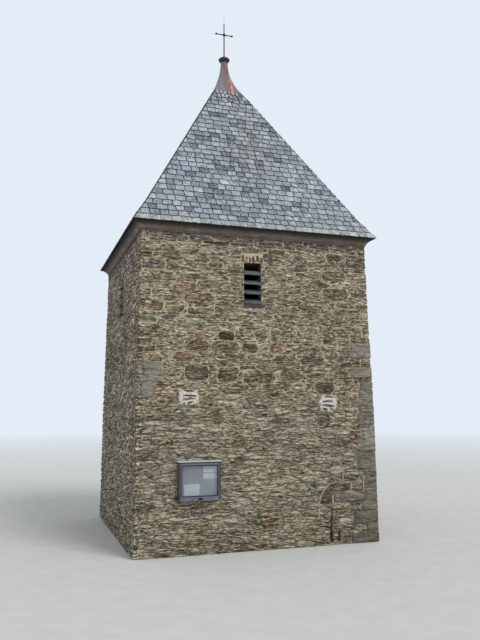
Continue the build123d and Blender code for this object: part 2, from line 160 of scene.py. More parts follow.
class Look:
    """A material being made: each call adds one node, or a few, and wires them up."""

    def __init__(self, name, roughness=0.85, specular=0.3, metallic=0.0):
        self.material = bpy.data.materials.new(name)
        self.material.use_nodes = True
        self.tree = self.material.node_tree
        self.shader = self.tree.nodes["Principled BSDF"]
        self.set("Roughness", roughness)
        self.set("Specular IOR Level", specular)
        self.set("Metallic", metallic)

    def add(self, kind, inputs, **settings):
        node = self.tree.nodes.new("ShaderNode" + kind)
        for key, value in settings.items():
            setattr(node, key, value)
        for key, value in inputs.items():
            self.wire(value, node.inputs[key])
        return node

    def wire(self, value, socket):
        if isinstance(value, bpy.types.NodeSocket):
            self.tree.links.new(value, socket)
        else:
            socket.default_value = value

    def set(self, name, value):
        self.wire(value, self.shader.inputs[name])

    def finish(self, colour, height, strength, distance):
        """Gives the surface its colour and its relief."""
        self.set("Base Color", colour)
        bump = self.add("Bump", {"Height": height, "Strength": strength, "Distance": distance})
        self.set("Normal", bump.outputs["Normal"])
        return self.material

    def place(self, scale=(1, 1, 1), shift=None):
        """The object's own coordinates, stretched, and shifted by a socket so that stones differ."""
        spot = self.add("TexCoord", {}).outputs["Object"]
        if shift is not None:
            spot = self.add("VectorMath", {0: spot, 1: shift}, operation="ADD").outputs[0]
        return self.add("Mapping", {"Vector": spot, "Scale": scale}).outputs[0]

    def axes(self, spot):
        return self.add("SeparateXYZ", {0: spot}).outputs

    def noise(self, spot, scale, detail=4.0, rough=0.55, bend=0.0):
        inputs = {"Vector": spot, "Scale": scale, "Detail": detail, "Roughness": rough, "Distortion": bend}
        return self.add("TexNoise", inputs).outputs["Fac"]

    def cells(self, spot, scale, feature="F1", output="Distance"):
        return self.add("TexVoronoi", {"Vector": spot, "Scale": scale}, feature=feature).outputs[output]

    def math(self, operation, a, b=0.0, clamp=False):
        return self.add("Math", {0: a, 1: b}, operation=operation, use_clamp=clamp).outputs[0]

    def plus(self, value, other, share):
        """A value with a share of another added to it."""
        return self.math("ADD", value, self.math("MULTIPLY", other, share))

    def range(self, value, low, high, to_low=0.0, to_high=1.0):
        return self.add("MapRange", {0: value, 1: low, 2: high, 3: to_low, 4: to_high}).outputs[0]

    def ramp(self, value, *stops):
        """Colours along a value, each stop a place and a colour."""
        node = self.add("ValToRGB", {"Fac": value})
        points = node.color_ramp.elements
        while len(points) < len(stops):
            points.new(0.5)
        for point, (place, colour) in zip(points, stops):
            point.position = place
            point.color = (*colour, 1)
        return node.outputs["Color"]

    def mix(self, share, a, b, blend="MIX"):
        a, b = ((*c, 1) if isinstance(c, tuple) else c for c in (a, b))
        inputs = {0: share, 6: a, 7: b}
        return self.add("Mix", inputs, data_type="RGBA", blend_type=blend).outputs[2]

    def times(self, a, b, share=1.0):
        """A colour multiplied by another."""
        return self.mix(share, a, b, "MULTIPLY")

    def shade(self, share, colour, by):
        """A colour that is multiplied by another where a share is high."""
        return self.mix(share, colour, self.times(colour, by))

    def tint(self):
        """The colour of each small shape, and the seed that it differs by."""
        node = self.add("Attribute", {}, attribute_name="tint")
        return node.outputs["Color"], node.outputs["Alpha"]


def plain_look(name, dark, light, scale, detail=5.0, rough=0.65, bend=0.0, grain=(1, 1, 1), roughness=0.95,
               specular=0.1, strength=0.5, distance=0.006):
    """A surface of one cloudy noise, from a dark stop to a light one."""
    look = Look(name, roughness, specular)
    cloud = look.noise(look.place(grain), scale, detail, rough, bend)
    return look.finish(look.ramp(cloud, dark, light), cloud, strength, distance)


# Camera, light and floor

CAMERA_SPOT = (-4.5909, -14.9071, 2.7392)
CAMERA_TURN = (18.4813, 7.4417, -0.2353)  # yaw, pitch and roll in degrees
CAMERA_LENS, CAMERA_SENSOR, CAMERA_REACH = 37.337, 36, 2000
SUN_WAY = (-0.36, 0.64, -0.68)
SUN_ENERGY, SUN_SPREAD, SUN_COLOUR = 1.45, 28, (1.0, 0.985, 0.96)
SKY_COLOUR, SKY_STRENGTH = (0.94, 0.97, 1.0, 1), 0.56
BACKDROP = (*paint(228, 237, 247), 1)
FLOOR_RADIUS, FLOOR_SIDES, FLOOR_Z = 900.0, 64, -0.002
FLOOR_FADE = (14.0, 60.0)  # distances over which the floor turns into the backdrop's colour


def aim_camera():
    yaw, pitch, roll = (math.radians(angle) for angle in CAMERA_TURN)
    level = Vector((math.sin(yaw), math.cos(yaw), 0))
    ahead = level * math.cos(pitch) + Vector((0, 0, math.sin(pitch)))
    over = Vector((0, 0, math.cos(pitch))) - level * math.sin(pitch)
    across = Vector((math.cos(yaw), -math.sin(yaw), 0))
    right = across * math.cos(roll) + over * math.sin(roll)
    up = over * math.cos(roll) - across * math.sin(roll)
    lens = bpy.data.cameras.new("camera")
    lens.lens, lens.sensor_width, lens.clip_end = CAMERA_LENS, CAMERA_SENSOR, CAMERA_REACH
    camera = bpy.data.objects.new("camera", lens)
    bpy.context.scene.collection.objects.link(camera)
    turned = Matrix((right, up, -ahead)).transposed().to_4x4()
    camera.matrix_world = Matrix.Translation(CAMERA_SPOT) @ turned
    bpy.context.scene.camera = camera


def light_scene():
    """A soft sun and a plain sky, which shows the backdrop's colour to the camera and in gloss and glass."""
    lamp = bpy.data.lights.new("soft_sun", "SUN")
    lamp.energy, lamp.angle, lamp.color = SUN_ENERGY, math.radians(SUN_SPREAD), SUN_COLOUR
    sun = bpy.data.objects.new("soft_sun", lamp)
    sun.rotation_mode = "QUATERNION"
    sun.rotation_quaternion = Vector(SUN_WAY).to_track_quat("-Z", "Y")
    bpy.context.scene.collection.objects.link(sun)

    world = bpy.data.worlds.new("sky")
    bpy.context.scene.world = world
    world.use_nodes = True
    nodes, links = world.node_tree.nodes, world.node_tree.links
    lit, seen = nodes["Background"], nodes.new("ShaderNodeBackground")
    lit.inputs["Color"].default_value = SKY_COLOUR
    lit.inputs["Strength"].default_value = SKY_STRENGTH
    seen.inputs["Color"].default_value = BACKDROP
    rays = nodes.new("ShaderNodeLightPath").outputs
    share = rays["Is Camera Ray"]
    for ray in ("Is Glossy Ray", "Is Transmission Ray"):
        either = nodes.new("ShaderNodeMath")
        either.operation = "MAXIMUM"
        links.new(share, either.inputs[0])
        links.new(rays[ray], either.inputs[1])
        share = either.outputs[0]
    choose = nodes.new("ShaderNodeMixShader")
    for source, socket in zip((share, lit.outputs[0], seen.outputs[0]), choose.inputs):
        links.new(source, socket)
    links.new(choose.outputs[0], nodes["World Output"].inputs["Surface"])


def lay_floor():
    """A pale floor that runs into the backdrop's colour far from the tower."""
    look = Look("floor", roughness=0.9, specular=0.1)
    spot = look.add("TexCoord", {}).outputs["Object"]
    far = look.add("VectorMath", {0: spot}, operation="LENGTH").outputs["Value"]
    grain = look.noise(look.place(), 3.0)
    look.set("Base Color", look.ramp(grain, (0.3, paint(214, 216, 214)), (0.7, paint(222, 224, 222))))
    glow = look.add("Emission", {"Color": BACKDROP, "Strength": 1.0}).outputs[0]
    path = look.add("LightPath", {}).outputs["Is Camera Ray"]
    share = look.math("MULTIPLY", look.range(far, *FLOOR_FADE), path)
    mixed = look.add("MixShader", {0: share, 1: look.shader.outputs[0], 2: glow}).outputs[0]
    look.wire(mixed, look.tree.nodes["Material Output"].inputs["Surface"])
    mesh = bpy.data.meshes.new("floor")
    angles = [math.tau * i / FLOOR_SIDES for i in range(FLOOR_SIDES)]
    rim = [(FLOOR_RADIUS * math.cos(angle), FLOOR_RADIUS * math.sin(angle), 0) for angle in angles]
    mesh.from_pydata(rim, [], [tuple(range(FLOOR_SIDES))])
    mesh.materials.append(look.material)
    floor = bpy.data.objects.new("floor", mesh)
    floor.location = (0, 0, FLOOR_Z)
    bpy.context.scene.collection.objects.link(floor)


# Meshes made of many small pieces

PLAIN = (0.5, 0.5, 0.5)


class Heap:
    """Gathers small shapes into one piece, each shape with its own colour and seed."""

    def __init__(self):
        self.points, self.faces, self.tints = [], [], []

    def add(self, points, faces, colour=PLAIN, seed=0.5, edge=()):
        """Adds a shape; the first points can have colours of their own."""
        start = len(self.points)
        self.points.extend(points)
        self.faces.extend(tuple(start + i for i in face) for face in faces)
        self.tints.extend([(*shade, seed) for shade in edge] + [(*colour, seed)] * (len(points) - len(edge)))

    def rings(self, rings, colour=PLAIN, seed=0.5, edge=()):
        """Skins closed rings of equal count, and closes the last one to its middle."""
        count = len(rings[0])
        points = [point for ring in rings for point in ring]
        points.append(tuple(sum(point[k] for point in rings[-1]) / count for k in range(3)))
        faces = []
        for a in range(0, (len(rings) - 1) * count, count):
            b = a + count
            faces.extend((a + i, a + (i + 1) % count, b + (i + 1) % count, b + i) for i in range(count))
        base = (len(rings) - 1) * count
        faces.extend((base + i, base + (i + 1) % count, len(points) - 1) for i in range(count))
        self.add(points, faces, colour, seed, edge)

    def build(self, name, slot, material, body="tower", replaces=(), sharp=40):
        mesh = bpy.data.meshes.new(name)
        mesh.from_pydata(self.points, [], self.faces)
        attribute = mesh.attributes.new("tint", "FLOAT_COLOR", "POINT")
        attribute.data.foreach_set("color", [value for tint in self.tints for value in tint])
        mesh.materials.append(material)
        mesh.shade_smooth()
        mesh.set_sharp_from_angle(angle=math.radians(sharp))
        piece = bpy.data.objects.new(name, mesh)
        bpy.context.scene.collection.objects.link(piece)
        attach(piece, body)
        if replaces:
            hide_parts(*replaces)


def dress(node, material):
    """Gives a CAD node a material."""
    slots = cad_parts[node].data.materials
    slots.clear()
    slots.append(material)


def grid_faces(columns, rows, start=0, flip=False):
    """Faces of a sheet whose points come row by row."""
    faces = []
    for row in range(rows):
        for column in range(columns):
            a = start + row * (columns + 1) + column
            b = a + columns + 1
            faces.append((a, b, b + 1, a + 1) if flip else (a, a + 1, b + 1, b))
    return faces


def cut(outline, at, across):
    """The two parts of a convex outline on either side of a line."""
    near, far = [], []
    for a, b in zip(outline, outline[1:] + outline[:1]):
        da = (a[0] - at[0]) * across[0] + (a[1] - at[1]) * across[1]
        db = (b[0] - at[0]) * across[0] + (b[1] - at[1]) * across[1]
        if da <= 0:
            near.append(a)
        if da >= 0:
            far.append(a)
        if da * db < 0:
            share = da / (da - db)
            middle = (a[0] + (b[0] - a[0]) * share, a[1] + (b[1] - a[1]) * share)
            near.append(middle)
            far.append(middle)
    return near, far


def area(outline):
    return sum(a[0] * b[1] - b[0] * a[1] for a, b in zip(outline, outline[1:] + outline[:1])) / 2


def spans(outline):
    us, zs = [p[0] for p in outline], [p[1] for p in outline]
    return min(us), max(us), min(zs), max(zs)


def shrink(outline, gap):
    """A convex outline with every edge moved inwards."""
    left = outline
    for a, b in zip(outline, outline[1:] + outline[:1]):
        length = math.hypot(b[0] - a[0], b[1] - a[1])
        if length < 1e-6:
            continue
        outward = ((b[1] - a[1]) / length, -(b[0] - a[0]) / length)
        left = cut(left, (a[0] - outward[0] * gap, a[1] - outward[1] * gap), outward)[0]
        if len(left) < 3:
            return []
    return left


def soften(outline, count):
    """An outline with its corners worn off, as evenly spaced points."""
    for reach in (0.022, 0.009):
        worn = []
        for a, b in zip(outline, outline[1:] + outline[:1]):
            length = math.hypot(b[0] - a[0], b[1] - a[1])
            share = min(0.3, reach / max(length, 1e-6))
            worn.append((a[0] + (b[0] - a[0]) * share, a[1] + (b[1] - a[1]) * share))
            worn.append((b[0] + (a[0] - b[0]) * share, b[1] + (a[1] - b[1]) * share))
        outline = worn
    lengths = [math.hypot(b[0] - a[0], b[1] - a[1]) for a, b in zip(outline, outline[1:] + outline[:1])]
    step = sum(lengths) / count
    even, edge, passed = [], 0, 0.0
    for i in range(count):
        while passed + lengths[edge] < i * step and edge < len(lengths) - 1:
            passed += lengths[edge]
            edge += 1
        a, b = outline[edge], outline[(edge + 1) % len(outline)]
        share = (i * step - passed) / max(lengths[edge], 1e-9)
        even.append((a[0] + (b[0] - a[0]) * share, a[1] + (b[1] - a[1]) * share))
    return even


# Rubble walls

SANDY = paints((158, 146, 125), (150, 140, 120), (144, 135, 118), (149, 136, 116), (166, 156, 137),
               (136, 127, 110), (148, 140, 120), (154, 141, 119), (143, 132, 116), (152, 145, 127))
WORN = paints((156, 148, 130), (164, 156, 140), (148, 141, 125), (138, 131, 115), (150, 145, 128),
              (170, 162, 147), (154, 143, 126), (132, 126, 111))
DUSKY = paints((156, 151, 136), (148, 144, 130), (164, 158, 142), (138, 134, 120), (154, 147, 131))
GRANITE = paints((138, 133, 122), (145, 140, 130), (128, 125, 114), (141, 134, 120))
FRESH_LIME, SMEARED_LIME = paint(206, 202, 194), paint(182, 171, 150)
PATCH_STONE = paint(124, 118, 108)
LIGHT_UPRIGHT, DARK_UPRIGHT = paint(194, 184, 162), paint(124, 117, 101)
DAMP_GREEN = paint(104, 106, 82)

# Stones that stand out on the front: left, right, lower and upper edge, colour
MARKED = (
    (-1.56, -1.00, 4.75, 4.97, (110, 96, 76)), (-1.66, -1.32, 5.00, 5.18, (132, 104, 82)),
    (-1.95, -1.56, 4.58, 4.78, (128, 120, 86)), (-2.40, -1.98, 4.57, 4.78, (112, 94, 72)),
    (-1.51, -0.96, 4.55, 4.68, (124, 104, 78)), (-0.89, -0.55, 4.04, 4.21, (70, 48, 34)),
    (-0.55, -0.14, 4.07, 4.23, (132, 122, 98)), (-0.11, 0.14, 4.06, 4.24, (112, 94, 72)),
    (0.22, 0.73, 4.03, 4.28, (124, 114, 92)), (-1.02, -0.45, 3.78, 4.03, (116, 104, 80)),
    (-0.39, -0.06, 3.82, 4.00, (96, 80, 60)), (-1.56, -1.07, 3.80, 4.04, (120, 101, 80)),
    (-1.74, -1.41, 3.58, 3.79, (112, 92, 72)), (0.20, 0.48, 3.86, 3.97, (122, 96, 72)),
    (0.31, 0.78, 3.60, 3.83, (114, 104, 84)), (0.88, 1.40, 3.57, 3.82, (108, 98, 80)),
    (-1.56, -1.08, 3.25, 3.54, (100, 86, 68)), (-0.89, -0.46, 3.22, 3.51, (112, 100, 76)),
    (-0.44, -0.09, 3.46, 3.54, (92, 74, 66)), (-0.36, 0.32, 3.17, 3.44, (110, 100, 72)),
    (0.42, 0.87, 3.21, 3.47, (116, 100, 78)), (1.19, 1.61, 3.01, 3.24, (102, 90, 70)),
    (0.19, 0.58, 5.86, 5.96, (106, 88, 68)), (-1.08, -0.77, 5.50, 5.60, (114, 92, 72)),
    (1.39, 1.95, 5.36, 5.58, (116, 98, 78)), (1.40, 1.98, 4.95, 5.19, (108, 98, 70)),
    (1.51, 1.88, 5.79, 5.96, (102, 92, 82)), (1.21, 1.51, 2.44, 2.60, (98, 95, 90)),
    (1.72, 2.20, 1.97, 2.19, (128, 106, 90)), (1.44, 1.91, 1.04, 1.19, (98, 92, 80)),
    (1.95, 2.19, 1.04, 1.18, (110, 102, 86)), (1.24, 1.47, 0.82, 1.02, (88, 82, 70)),
    (-0.62, -0.36, 1.96, 2.14, (116, 108, 78)), (-1.42, -1.20, 0.72, 0.90, (104, 103, 102)),
    (-0.02, 0.44, 0.40, 0.72, (116, 102, 82)), (-2.34, -1.76, 5.12, 5.34, (118, 110, 82)),
    (1.77, 2.15, 1.24, 1.35, (100, 96, 84)),
)
# Layers of the corners with dressed blocks: lower and upper edge, reach on each face
BIG_LEFT = ((2.93, 3.215, 0.30, 0.33), (3.225, 3.605, 0.36, 0.48))
BIG_RIGHT = (
    (0.00, 0.18, 0.58, 0.35), (0.19, 0.39, 0.24, 0.50), (0.40, 0.64, 0.52, 0.30), (0.65, 0.83, 0.33, 0.55),
    (0.84, 1.02, 0.96, 0.30), (1.03, 1.46, 0.27, 0.50), (1.47, 1.80, 0.40, 0.30), (1.81, 2.36, 0.27, 0.45),
    (2.37, 2.60, 0.36, 0.28), (2.61, 2.74, 0.32, 0.50), (2.75, 2.87, 0.49, 0.30), (2.88, 3.08, 0.31, 0.46),
    (3.09, 3.25, 0.27, 0.40), (3.34, 3.55, 0.47, 0.28), (3.75, 4.06, 0.45, 0.26),
)
# Pale joints round the blocked arch at the lower right, and the open joints below it with their widths
ARCH_JOINTS = (
    ((1.198, 0.513), (1.210, 0.806), (1.249, 0.973), (1.324, 1.097), (1.458, 1.187), (1.580, 1.223),
     (1.775, 1.205), (2.183, 1.213)),
    ((1.934, 1.201), (1.923, 1.029)),
    ((2.224, 1.342), (2.214, 1.027)),
    ((1.501, 0.962), (1.509, 0.813)),
    ((1.526, 1.014), (1.929, 1.026), (2.226, 1.016)),
    ((1.742, 1.370), (1.751, 1.240)),
    ((1.755, 1.375), (2.188, 1.376)),
)
CRACKS = (
    (0.018, ((1.487, 0.740), (1.498, 0.655), (1.480, 0.602), (1.494, 0.540))),
    (0.034, ((1.490, 0.555), (1.470, 0.470), (1.486, 0.385))),
    (0.048, ((1.480, 0.400), (1.462, 0.310), (1.478, 0.235))),
    (0.060, ((1.474, 0.250), (1.458, 0.150), (1.482, 0.060))),
    (0.022, ((1.240, 0.378), (1.330, 0.362), (1.462, 0.335))),
    (0.034, ((1.640, 0.270), (1.628, 0.180), (1.650, 0.075))),
    (0.022, ((1.500, 0.105), (1.570, 0.118), (1.640, 0.085))),
)
# Where the joints were raked out and filled again with fresh lime: left, right, lower and upper edge
PATCHES = ((-1.66, -1.28, 2.78, 3.08), (1.285, 1.665, 2.64, 2.97))
PATCH_ROWS, PATCH_POINTS = 4, 72
JOINT_STEP = 0.03
# Stones behind the notice case lie flat: left, right, lower and upper edge, and how far they stand out, how
# rough they are and how far out they can go
BEHIND_CASE = (-1.77, -0.80, 0.93, 1.80)
FLAT_FACE = (0.010, 0.003, 0.013)

# Heights of the level courses under the cornice, the colours of their stones, darker than the rubble's and partly
# painted shade under the cornice, and a dark one on the front
FLAT_COURSES = (5.972, 6.030, 6.088, HEAD_Z)
FLAT_SHADES = paints((130, 120, 112), (122, 113, 113), (136, 127, 112), (118, 109, 106), (140, 130, 114))
DARK_FLAT_X, DARK_FLAT = -0.92, paint(90, 70, 62)

# Upright stones over each opening: how far they go past it, their highest top, and the top of their room
UPRIGHT_LAP, UPRIGHTS_TOP, UPRIGHTS_ROOM = 0.04, 5.82, 5.84

# Sizes of the scattered stones, with how often each is tried
UPPER_SIZES = ((0.086, 140), (0.070, 500), (0.054, 1500), (0.041, 4000), (0.031, 7000), (0.022, 5000))
LOWER_SIZES = ((0.062, 60), (0.050, 450), (0.039, 2200), (0.029, 8000), (0.020, 9000))
SPACING = 0.88  # stones are kept this much of their two sizes apart
GRID_CELL = 0.25
# Thin long stones below the waist, larger and rounder ones above it: the stage's foot and head, how much longer
# than tall its stones are, their sizes, the gaps round them, how far they stand out, and their roughness
STAGES = (
    (0.0, WAIST_Z, 4.2, LOWER_SIZES, (0.001, 0.004), (0.006, 0.026), 0.014),
    (WAIST_Z, HEAD_Z, 3.3, UPPER_SIZES, (0.002, 0.006), (0.006, 0.016), 0.008),
)
# Smaller than this a part of a stone is left out, in metres and square metres
LEAST_SPAN, LEAST_AREA, LEAST_STONE, LEAST_PART, LEAST_OVERLAP = 0.02, 0.0010, 0.0006, 0.0008, 0.0002

# A stone's rings from its rim in: how far in, and the share of its height there. A small stone lacks the last
STONE_RINGS = ((-0.001, None), (0.0, 0.45), (0.007, 0.94), (0.022, 1.05), (0.060, 1.08))
SMALL_STONE = 0.27  # the width and height of a small stone added up
SMALL_POINTS, LARGE_POINTS = 11, 19
BEHIND = -0.008  # how deep rims reach into the mortar
LOWEST = 0.003  # nothing on the walls lies lower
# How often a stone's foot gets painted shade where the joint is open, and how dark it is
OPEN_FOOT_CHANCE, FOOT_SHADOW_LEVEL = 0.42, 0.16

# Corner stones: how tall their layers are about, on each stage
UPPER_LAYER, LOWER_LAYER = 0.17, 0.13
# Their gap, worn rim, roughness, shake, sway of the ends, and how far the corner is turned off
DRESSED_EDGES = (0.002, 0.008, 0.004, 0.003, 0.010, 0.010)
ROUGH_EDGES = (0.004, 0.012, 0.010, 0.012, 0.022, 0.006)
BLOCK_JOINT_OUT = 0.012  # how far out of the mortar two dressed blocks meet


def box_outline(left, right, low, high):
    return [(left, low), (right, low), (right, high), (left, high)]


def uneven_outline(left, right, low, high, rng):
    """A long stone's outline, a box with unevenly cut corners."""
    wide, tall = right - left, high - low
    a, b, c, d = (rng.uniform(0.03, 0.15) * wide for _ in range(4))
    e, f, g, h = (rng.uniform(0.10, 0.28) * tall for _ in range(4))
    return [(left + a, low), (right - b, low), (right, low + e), (right, high - f), (right - c, high),
            (left + d, high), (left, high - g), (left, low + h)]


def dulled(colour):
    """A stone's colour drawn part of the way to the wall's own."""
    level = 0.3 * colour[0] + 0.59 * colour[1] + 0.11 * colour[2]
    return tuple((0.6 * c + 0.4 * level * w) * 1.32 + 0.016 for c, w in zip(colour, (1.17, 0.98, 0.72)))


def pointed_outline():
    """The outside of the back door's stone surround."""
    half, radius = DOOR_HALF + SURROUND, DOOR_RADIUS + SURROUND
    top = math.acos(DOOR_CENTRE / radius)
    right = []
    for i in range(5):
        angle = top * i / 4
        right.append((radius * math.cos(angle) - DOOR_CENTRE, DOOR_SPRING_Z + radius * math.sin(angle)))
    left = [(-x, z) for x, z in reversed(right[:-1])]
    return [(-half, 0.0), (half, 0.0)] + right + left


def corner_layers(corner, rng):
    """The stones of one corner from the ground up, long on one face and then on the other."""
    dressed = {0: BIG_RIGHT, 3: BIG_LEFT}.get(corner, ())
    layers = [(low, high, a, b, True) for low, high, a, b in dressed]
    edges = sorted([0.0, HEAD_Z] + [z for layer in dressed for z in layer[:2]])
    for low, high in zip(edges, edges[1:]):
        taken = any(low < layer[1] - 0.001 and high > layer[0] + 0.001 for layer in dressed)
        if high - low < 0.05 or taken:
            continue
        count = max(1, round((high - low) / (UPPER_LAYER if low > WAIST_Z else LOWER_LAYER)))
        heights = [rng.uniform(0.6, 1.4) for _ in range(count)]
        z = low
        for height in heights:
            top = z + (high - low) * height / sum(heights)
            long_one, short_one = rng.uniform(0.28, 0.50), rng.uniform(0.14, 0.26)
            reaches = (long_one, short_one) if len(layers) % 2 else (short_one, long_one)
            layers.append((z, top, *reaches, False))
            z = top
    return sorted(layers)


def corner_colour(corner, low, dressed, rng):
    """A corner stone's colour: paler low down on the left corner, darker to the foot on the dressed right one."""
    palette = GRANITE if dressed else (SANDY if low > WAIST_Z else WORN)
    colour = vary(rng.choice(palette), rng)
    if corner == 3 and low < WAIST_Z:
        colour = scaled(colour, 1.12)
    if dressed and corner == 0:
        colour = scaled(colour, 0.66 + 0.34 * min(1.0, low / 2.2))
    return colour


def lay_corner(heap, corner, layers, dressed, rng):
    """Quoins that bend round a corner, from the right end of one face to the left end of the next."""
    gap, worn, rough, shake, sway, turned = DRESSED_EDGES if dressed else ROUGH_EDGES
    for low, high, a, b, _ in layers:
        proud = sunk(low) + (rng.uniform(0.018, 0.024) if dressed else rng.uniform(0.0, 0.007))
        low_z, high_z = (max(LOWEST, low - 0.005), high + 0.005) if dressed else (low + gap, high - gap)
        third = (high_z - low_z) / 3
        run = [-a + gap, -a + gap + 0.004, -a + gap + worn, -a * 0.66, -a * 0.36, -0.07, -0.02, 0.0,
               0.02, 0.07, b * 0.36, b * 0.66, b - gap - worn, b - gap - 0.004, b - gap]
        rise = [low_z, low_z + 0.004, low_z + worn, low_z + third, high_z - third, high_z - worn,
                high_z - 0.004, high_z]
        lean = [rng.uniform(-0.012, 0.012) for _ in range(2)]
        seed = rng.random()
        points = []
        for j, z in enumerate(rise):
            for i, s in enumerate(run):
                rim = min(i, len(run) - 1 - i, j, len(rise) - 1 - j)
                out = (BEHIND, proud * (0.8 if dressed else 0.5), proud)[min(rim, 2)]
                # Dressed blocks meet in a shallow joint
                bedded = dressed and j in (0, len(rise) - 1) and 0 < i < len(run) - 1
                if bedded:
                    out = BLOCK_JOINT_OUT
                spot = Vector((s * 5 + corner * 9, z * 5, seed * 40))
                if rim:
                    out += rough * noise.noise(spot * 1.6) + rough * 0.5 * noise.noise(spot * 5)
                shift = (0.0 if bedded else shake) * noise.noise(spot * 1.3 + Vector((7, 0, 0)))
                up = max(LOWEST, z + shift)
                along = s
                if rim < 2 and abs(s) > 0.1:
                    along += (lean[0] if s < 0 else lean[1]) * (2 * (z - low) / (high - low) - 1)
                    along += sway * noise.noise(Vector((z * 11, seed * 30, s)))
                round_off = max(0.0, 1 - abs(s) / 0.045) * turned
                edge = outer_half(up) + out
                if s <= 0:
                    points.append(on_face(corner, edge + along - round_off, out - round_off, up))
                else:
                    points.append(on_face((corner + 1) % 4, -edge + along + round_off, out - round_off, up))
        colour = corner_colour(corner, low, dressed, rng)
        heap.add(points, grid_faces(len(run) - 1, len(rise) - 1), colour, seed)


def overlap(outline, reserve):
    """The part of an outline inside a reserved one."""
    inside = outline
    for a, b in zip(reserve, reserve[1:] + reserve[:1]):
        inside = cut(inside, a, (b[1] - a[1], a[0] - b[0]))[0]
        if len(inside) < 3:
            return 0.0
    return area(inside)


class Field:
    """Middles and sizes of the stones of one stage, found by place. A stretch squeezes it along the beds."""

    def __init__(self, stretch):
        self.stretch, self.sites, self.grid = stretch, [], {}

    def key(self, u, z):
        return math.floor(u / self.stretch / GRID_CELL), math.floor(z / GRID_CELL)

    def near(self, u, z):
        a, b = self.key(u, z)
        return [site for i in (-1, 0, 1) for j in (-1, 0, 1) for site in self.grid.get((a + i, b + j), ())]

    def add(self, site):
        self.sites.append(site)
        self.grid.setdefault(self.key(site[0], site[1]), []).append(site)


def scatter(zone, stretch, sizes, fixed, rng):
    """Middles and sizes of stones, large ones first, each kept clear of the ones before it."""
    left, right, low, high = zone
    field = Field(stretch)
    for site in fixed:
        field.add(site)
    for size, tries in sizes:
        for _ in range(tries):
            u, z, grow = rng.uniform(left, right), rng.uniform(low, high), size * rng.uniform(0.85, 1.15)
            near = field.near(u, z)
            if all(math.hypot((u - s[0]) / stretch, z - s[1]) > (grow + s[2]) * SPACING for s in near):
                field.add((u, z, grow))
    return field


def grown(site, zone, field):
    """The outline a stone reaches when it and its neighbours grow until they meet."""
    u, z, size = site
    squeeze = field.stretch ** 2
    outline = box_outline(*zone)
    near = [other for other in field.near(u, z) if other is not site]
    near.sort(key=lambda other: (u - other[0]) ** 2 / squeeze + (z - other[1]) ** 2)
    for other in near:
        far = (u - other[0]) ** 2 / squeeze + (z - other[1]) ** 2
        share = 0.5 + (size ** 2 - other[2] ** 2) / (2 * far)
        at = (u + (other[0] - u) * share, z + (other[1] - z) * share)
        outline = cut(outline, at, ((other[0] - u) / squeeze, other[1] - z))[0]
        if len(outline) < 3:
            return []
    return outline


def beside(outline, patch):
    """Whether the boxes round two outlines overlap."""
    a, b = spans(outline), spans(patch)
    return a[0] < b[1] and b[0] < a[1] and a[2] < b[3] and b[2] < a[3]


def outside(patch, reserves):
    """The convex parts of a patch that lie outside what is reserved."""
    parts = [patch]
    for reserve in reserves:
        kept = []
        for part in parts:
            if overlap(part, reserve) < LEAST_OVERLAP:
                kept.append(part)
                continue
            inside = part
            for a, b in zip(reserve, reserve[1:] + reserve[:1]):
                inside, left_out = cut(inside, a, (b[1] - a[1], a[0] - b[0]))
                if len(left_out) > 2 and area(left_out) > LEAST_PART:
                    kept.append(left_out)
                if len(inside) < 3:
                    break
        parts = kept
    return parts


def edge_shades(outline, colour, rng):
    """Colours of a stone's rim: lime smeared on it, and often painted shade along its foot, where the joint is
    open.
    """
    smear = rng.uniform(0.35, 0.95)
    shadowed_foot = rng.random() < OPEN_FOOT_CHANCE
    middle = sum(z for _, z in outline) / len(outline)
    limed, dark = blended(smear, colour, SMEARED_LIME), scaled(colour, FOOT_SHADOW_LEVEL)
    return [dark if shadowed_foot and z < middle else limed for _, z in outline]


def lay_stone(heap, side, patch, gap, proud, rough, colour, rng, still=0.0, limit=1.0, limed=False):
    """One stone with a worn edge and a rough, slightly tilted face."""
    inner = shrink(patch, gap)
    if len(inner) < 3 or area(inner) < LEAST_STONE:
        return
    seed = rng.random()
    left, right, low, high = spans(inner)
    small = (right - left) + (high - low) < SMALL_STONE
    outline = []
    for u, z in soften(inner, SMALL_POINTS if small else LARGE_POINTS):
        shift = noise.noise_vector(Vector((u * 6, z * 9, side * 13)))
        chip = noise.noise_vector(Vector((u * 15, z * 21, seed * 50)))
        wave = noise.noise(Vector((u * 0.9, z * 1.7, side * 7.7))) * 0.055 * (1 - still)
        outline.append((u + shift.x * 0.024 + chip.x * 0.008,
                        max(LOWEST, z + shift.y * 0.015 + chip.y * 0.007 + wave)))
    left, right, low, high = spans(outline)
    middle = ((left + right) / 2, (low + high) / 2)
    half = ((right - left) / 2, (high - low) / 2)
    tilt = (rng.uniform(-0.25, 0.25) * rough, rng.uniform(-0.9, 0.25) * rough)
    rings = []
    for inset, level in STONE_RINGS[:-1] if small else STONE_RINGS:
        grow = [max(0.35, 1 - inset / h) if inset > 0 else 1.0 for h in half]
        ring = []
        for u, z in outline:
            du, dz = (u - middle[0]) * grow[0], (z - middle[1]) * grow[1]
            out = BEHIND
            if level is not None:
                spot = Vector(((middle[0] + du) * 11, (middle[1] + dz) * 24, seed * 50))
                out = proud * level + rough * level * noise.noise(spot)
                out += tilt[0] * du / half[0] + tilt[1] * dz / half[1]
                out = min(max(out, 0.001), limit)
            ring.append(on_face(side, middle[0] + du, out, middle[1] + dz))
        rings.append(ring)
    heap.rings(rings, colour, seed, edge=edge_shades(outline, colour, rng) * 2 if limed else ())


def stillness(u, z, blocks):
    """1 beside the corners and reserved boxes, so that wavy beds don't run over them, down to 0 away from them."""
    room = outer_half(z) - 0.3 - abs(u)
    for left, right, low, high in blocks:
        room = min(room, max(left - u, u - right, low - z, z - high))
    room = min(room, HEAD_Z - z, z)
    return 1 - unit(room / 0.14)


